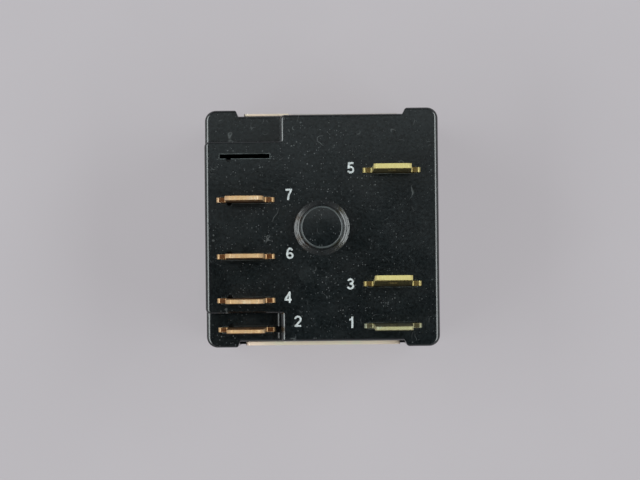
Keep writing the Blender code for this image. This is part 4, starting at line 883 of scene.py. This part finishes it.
# %% Draw the outlines
SHANK, SHOULDER, HALF_TAB, HALF_TIP = 3.925, 4.75, 3.15, 3.04
NECK_Z, BLADE_Z = 28.8, 24.15
TAB_LENGTH, LEDGE_RISE, FILLET, HOLE_RISE, HOLE_RADIUS = 9.6, 0.95, 0.35, 5.6, 0.9
LEANS = {1: -0.3, 2: -0.17, 3: 0.9, 4: -0.14, 5: 0.25}
KINDS = {1: "coil", 2: "coil", 3: "common", 5: "common", 4: "contact", 6: "contact", 7: "contact"}


def inside_edge(kind, column):
    """Lower edge inside the housing, from the left to the right."""
    if kind == "contact":
        pad = 2.4
        return [(-SHANK, NECK_Z, 0), (-pad, NECK_Z - 1.5, 0), (-pad, BLADE_Z - pad, pad),
                (pad, BLADE_Z - pad, pad), (pad, NECK_Z - 1.5, 0), (SHANK, NECK_Z, 0)]
    if kind == "common":
        low, arm = 21.9, -0.025
        return [(-SHANK, low, 0.8), (arm, low, 0.8), (arm, NECK_Z - 1.5, 0), (SHANK, NECK_Z, 0)]
    low, tail = NECK_Z - 9.0, SHANK - 2.5
    if column < 0:
        return [(-SHANK, NECK_Z, 0), (tail, NECK_Z, 0), (tail, low, 0), (SHANK, low, 0)]
    return [(-SHANK, low, 0), (-tail, low, 0), (-tail, NECK_Z, 0), (SHANK, NECK_Z, 0)]


def circle(x, z, radius, steps=36):
    turns = [2 * math.pi * step / steps for step in range(steps)]
    return [(x + radius * math.cos(a), z + radius * math.sin(a)) for a in turns]


def terminal_loops(number):
    """Loops of the outline, each with the group it is filled with: 1 below the bend, 2 above it."""
    column, _, seat = ROWS[number]
    ledge_z, bend, tip = seat + LEDGE_RISE, seat + LEDGE_RISE + FILLET, seat + TAB_LENGTH
    chamfer = 0.8 if column < 0 else 0.4
    right = [(SHANK, seat + 0.1, 0), (SHOULDER, seat + 0.1, 0), (SHOULDER, ledge_z, 0.6),
             (HALF_TAB, ledge_z, FILLET), (HALF_TAB, bend, 0)]
    left = [(-x, z, radius) for x, z, radius in reversed(right)]
    loops = [(1, rounded(inside_edge(KINDS[number], column) + right + left))]
    blade = [(HALF_TAB, bend), (HALF_TIP, tip - chamfer), (HALF_TIP - chamfer, tip)]
    loops.append((2, blade + [(-x, z) for x, z in reversed(blade)]))
    loops.append((2, circle(0.0, seat + HOLE_RISE, HOLE_RADIUS)))
    if KINDS[number] == "contact":
        loops.append((1, circle(0.0, BLADE_Z, 0.9)))
    if KINDS[number] == "common":
        loops += [(1, circle(-2.1, BLADE_Z + rise, 0.65)) for rise in (-1.2, 1.2)]
    return [(group, [(column + x, z) for x, z in loop]) for group, loop in loops]


print("terminal outlines:", {number: len(terminal_loops(number)) for number in KINDS})

# %% Stamp the terminals
def drawn(name, loops, closed=True):
    """Curve object of straight-sided loops, whose radius tells the group."""
    curve = bpy.data.curves.new(name, "CURVE")
    curve.dimensions = "3D"
    for group, loop in loops:
        spline = curve.splines.new("POLY")
        spline.points.add(len(loop) - 1)
        spline.use_cyclic_u = closed
        for point, (x, y) in zip(spline.points, loop):
            point.co = (x, y, 0.0, 1.0)
            point.radius = group
    made = bpy.data.objects.new(name, curve)
    scene.collection.objects.link(made)
    return made


def evaluated_piece(name, source, tree, identifiers, sizes):
    """Plain mesh piece from an object, a node tree and its inputs by name."""
    nodes = source.modifiers.new("nodes", "NODES")
    nodes.node_group = tree
    for size, value in sizes.items():
        nodes[identifiers[size]] = value
    graph = bpy.context.evaluated_depsgraph_get()
    mesh = bpy.data.meshes.new_from_object(source.evaluated_get(graph))
    bpy.data.objects.remove(source, do_unlink=True)
    mesh.name = name
    made = bpy.data.objects.new(name, mesh)
    scene.collection.objects.link(made)
    return made


EDGE_BREAK = 0.24


def break_edges(piece):
    edges = piece.modifiers.new("edges", "BEVEL")
    edges.limit_method = "WEIGHT"
    edges.width = EDGE_BREAK
    edges.segments = 3
    settle(piece)


for number, kind in KINDS.items():
    column, row, seat = ROWS[number]
    bend = seat + LEDGE_RISE + FILLET
    finish = COPPER if column < 0 else PALE_BRASS if number == 1 else BRASS
    sizes = {"Thickness": 0.8, "Column": column, "Row": row, "Bend height": bend,
             "Seat height": seat, "Length": TAB_LENGTH,
             "Lean": LEANS.get(number, 0.0) / (seat + TAB_LENGTH - bend), "Lead in": 1.0,
             "Finish": finish}
    outline = drawn("outline", terminal_loops(number))
    blade = evaluated_piece(f"stamped_terminal_{number}", outline, *STAMPING, sizes)
    break_edges(blade)
    hole = Vector((column, seat + HOLE_RISE))

    # painted shade: dark in the hole, on the lead-in chamfers and on the shoulder flats
    def painted_shade(centre, normal):
        in_hole = (centre.xz - hole).length < HOLE_RADIUS + 0.05 and abs(normal.y) < 0.5
        lead_in = normal.z > 0.15 and abs(normal.y) > 0.3 and centre.z > seat + TAB_LENGTH - 0.9
        on_shoulder = normal.z > 0.97 and centre.z < bend
        return in_hole or lead_in or 0.85 * on_shoulder

    # painted highlight on the root fillet, stronger on copper
    def fillet_highlight_share(centre, normal):
        on_fillet = seat + 0.2 < centre.z < bend and 0.15 < normal.z < 0.97 and abs(normal.y) < 0.3
        return on_fillet * (0.8 if column < 0 else 0.45)

    note_faces(blade, "painted_shade_share", painted_shade)
    note_faces(blade, "painted_fillet_highlight", fillet_highlight_share)
    slot = "copper_alloy" if column < 0 else "brass_sheet"
    finish_piece(blade, finish, "housing", slot, f"terminal_{number}")

# %% [markdown]
# ## Terminal numbers
# The numbers beside the blades are pad-printed in white. Each is drawn as a few pen strokes, and a
# second tree sweeps a flat nib along them and melts the strokes into one. The ink lies a few
# hundredths of a millimetre proud of the face.

# %% Build the printing tree
def printing_tree():
    tree, given, identifiers = start_tree("printed_strokes", "Strokes", "Print", {
        "Stroke width": 0.34, "Ink thickness": 0.05})
    level = add(tree, "GeometryNodeSetCurveNormal", {"Curve": given["Strokes"]}, mode="Z_UP")
    even = add(tree, "GeometryNodeSetCurveRadius", {"Curve": level.outputs[0], "Radius": 1.0})
    nib = add(tree, "GeometryNodeCurvePrimitiveQuadrilateral", {
        "Width": given["Stroke width"], "Height": given["Ink thickness"]})
    swept = add(tree, "GeometryNodeCurveToMesh", {
        "Curve": even.outputs[0], "Profile Curve": nib.outputs[0], "Fill Caps": True})
    melted = add(tree, "GeometryNodeMeshBoolean", {"Mesh 2": swept.outputs[0], "Self Intersection": True},
                 operation="UNION", solver="EXACT")
    end_tree(tree, melted, given["Finish"])
    return tree, identifiers


PRINTING = printing_tree()
print("printing tree:", len(PRINTING[0].nodes), "nodes")

# %% Draw the numerals
def arc(x, y, rx, ry, start, end, steps=22):
    """Points of an ellipse's arc, with angles in degrees."""
    angles = [math.radians(start + (end - start) * step / steps) for step in range(steps + 1)]
    return [(x + rx * math.cos(a), y + ry * math.sin(a)) for a in angles]


NUMERALS = {
    1: [[(0.40, 0.0), (0.40, 1.0)], [(0.40, 0.84), (0.30, 0.755), (0.14, 0.73)]],
    2: [arc(0.33, 0.67, 0.235, 0.24, 172, -32) + [(0.33, 0.33), (0.13, 0.09)], [(0.045, 0.09), (0.60, 0.09)]],
    3: [arc(0.31, 0.715, 0.205, 0.195, 165, -90) + [(0.24, 0.52)], arc(0.31, 0.30, 0.235, 0.215, 100, -168)],
    4: [[(0.47, 0.0), (0.47, 1.0)], [(0.47, 0.94), (0.07, 0.30)], [(0.02, 0.285), (0.64, 0.285)]],
    5: [[(0.56, 0.91), (0.14, 0.91)], [(0.185, 0.98), (0.12, 0.44)], arc(0.315, 0.33, 0.235, 0.245, 146, -162)],
    6: [arc(0.33, 0.30, 0.235, 0.215, 0, 360, 36), arc(0.335, 0.70, 0.20, 0.215, 12, 90, 10)
        + arc(0.335, 0.44, 0.24, 0.475, 90, 180, 14) + [(0.095, 0.30)]],
    7: [[(0.03, 0.91), (0.60, 0.91)], [(0.56, 0.97), (0.45, 0.74), (0.34, 0.50), (0.27, 0.26), (0.235, 0.0)]],
}
NUMERAL_PLACES = {
    1: (4.70, -15.59), 2: (-4.08, -15.32), 3: (4.63, -9.29), 4: (-5.66, -11.38),
    5: (4.83, 9.76), 6: (-5.29, -4.16), 7: (-5.35, 5.50),
}
NUMERAL_HEIGHT = 1.87


def white_ink():
    made, tree, shader, place = start_finish("white_ink")
    thin = clouds(tree, place, 2600.0, 3.0)
    tree.links.new(mix(tree, spread(tree, thin, 0.35, 0.60), (0.50, 0.54, 0.545), (0.72, 0.77, 0.775)),
                   shader.inputs["Base Color"])
    tree.links.new(spread(tree, thin, 0.3, 0.7, 0.45, 0.6), shader.inputs["Roughness"])
    bump(tree, shader, thin, 0.15, 0.00003)
    return made


INK = white_ink()
for number, (x, y) in NUMERAL_PLACES.items():
    strokes = [
        (1, [(x + (u - 0.33) * NUMERAL_HEIGHT, y + (v - 0.5) * NUMERAL_HEIGHT) for u, v in stroke])
        for stroke in NUMERALS[number]
    ]
    sizes = {"Stroke width": 0.315, "Ink thickness": 0.05, "Finish": INK}
    numeral = evaluated_piece(f"printed_number_{number}", drawn("strokes", strokes, False), *PRINTING, sizes)
    numeral.data.transform(Matrix.Translation((0.0, 0.0, FACE_Z)))
    numeral.data.transform(Matrix.Scale(MM, 4))
    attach(numeral, "housing")
    print(numeral.name, len(numeral.data.polygons), "faces")

# %% [markdown]
# ## The coil
# Under its film the coil is hundreds of turns of enamelled wire. Only the outer layer could ever be
# seen, so a third tree lays one helix of touching turns over a plain core of the same length, and both
# become one piece.

# %% Wind the coil
COIL_Z, COIL_START, COIL_END, COIL_RADIUS, WIRE = 12.5, -12.3, 8.9, 6.3, 0.4


def winding_tree():
    tree, given, identifiers = start_tree("wound_wire", "Core", "Coil", {
        "Turns": 52.0, "Layer radius": 6.1, "Width": 20.8, "Wire radius": 0.195})
    helix = add(tree, "GeometryNodeCurveSpiral", {
        "Resolution": 28, "Rotations": given["Turns"], "Start Radius": given["Layer radius"],
        "End Radius": given["Layer radius"], "Height": given["Width"]})
    wire = add(tree, "GeometryNodeCurvePrimitiveCircle", {"Resolution": 6, "Radius": given["Wire radius"]})
    swept = add(tree, "GeometryNodeCurveToMesh", {
        "Curve": helix.outputs[0], "Profile Curve": wire.outputs[0], "Fill Caps": True})
    both = add(tree, "GeometryNodeJoinGeometry", {0: given["Core"]})
    tree.links.new(swept.outputs[0], both.inputs[0])
    end_tree(tree, both, given["Finish"])
    return tree, identifiers


WINDING = winding_tree()
inner, outer, width = 4.2, COIL_RADIUS - 0.5 * WIRE, COIL_END - COIL_START - WIRE
core = body_from("core", turned([(outer, 0.0), (outer, width)]))
cut(core, turned([(inner, -1.0), (inner, width + 1.0)]))
sizes = {"Turns": width / WIRE, "Layer radius": outer, "Width": width,
         "Wire radius": 0.49 * WIRE, "Finish": ENAMEL}
coil = evaluated_piece("wound_coil", core, *WINDING, sizes)
coil.data.transform(Matrix.Rotation(-math.pi / 2, 4, "X"))
coil.data.transform(Matrix.Translation((0.0, COIL_START + WIRE / 2, COIL_Z)))
finish_piece(coil, ENAMEL, "housing", "enamelled_wire", "coil_winding")

# %% [markdown]
# ## The return spring
# A small compression spring sends the sliding card back. It is the one piece that changes shape as the
# relay works, so it is not put on a single body. The winding tree makes it too, with no core.

# %% Wind the return spring
SPRING_WIRE, SPRING_TURNS = 0.15, 4.0
spring_low, spring_high = [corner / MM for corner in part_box("return_spring")]
spring_middle = (spring_low + spring_high) / 2
reach = spring_high - spring_low
sizes = {"Turns": SPRING_TURNS, "Layer radius": reach.x / 2 - SPRING_WIRE, "Width": reach.y - 2 * SPRING_WIRE,
         "Wire radius": SPRING_WIRE, "Finish": IRON}
spring = evaluated_piece("wound_spring", body_from("no_core", bmesh.new()), *WINDING, sizes)
spring.data.transform(Matrix.Rotation(-math.pi / 2, 4, "X"))
spring.data.transform(Matrix.Translation((spring_middle.x, spring_low.y + SPRING_WIRE, spring_middle.z)))
finish_piece(spring, IRON, None, "iron", "return_spring")
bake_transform(spring)
print("spring length in mm:", round(reach.y, 2))

# %% [markdown]
# ## The floor
# The relay lies on its cover on a pale mat. The mat is plain here, with only a slow change of tone, so
# that nothing competes with the relay, and it is wide enough to fill every view. Where it is looked at,
# straight or in a mirror, it also glows a little in its own colour, so that the shadow stays but is as
# faint as in a room full of light.

# %% Lay the floor
def pale_mat():
    made, tree, shader, place = start_finish("pale_mat", roughness=0.85)
    tone = mix(tree, clouds(tree, place, 18.0, 3.0), (0.485, 0.462, 0.485), (0.540, 0.515, 0.540))
    tree.links.new(tone, shader.inputs["Base Color"])
    glow = add(tree, "ShaderNodeEmission", {"Color": tone})
    ray = add(tree, "ShaderNodeLightPath").outputs
    seen = sums(tree, "MAXIMUM", ray["Is Camera Ray"], ray["Is Glossy Ray"])
    seen = sums(tree, "MAXIMUM", seen, ray["Is Transmission Ray"])
    lit = add(tree, "ShaderNodeMixShader", {0: sums(tree, "MULTIPLY", seen, 0.66)})
    tree.links.new(shader.outputs[0], lit.inputs[1])
    tree.links.new(glow.outputs[0], lit.inputs[2])
    tree.links.new(lit.outputs[0], tree.nodes["Material Output"].inputs["Surface"])
    return made


floor = body_from("floor", turned([(3.0, -0.01), (3.0, 0.0)]))
floor.data.materials.append(pale_mat())
print("floor across:", round(floor.dimensions.x, 2), "m")
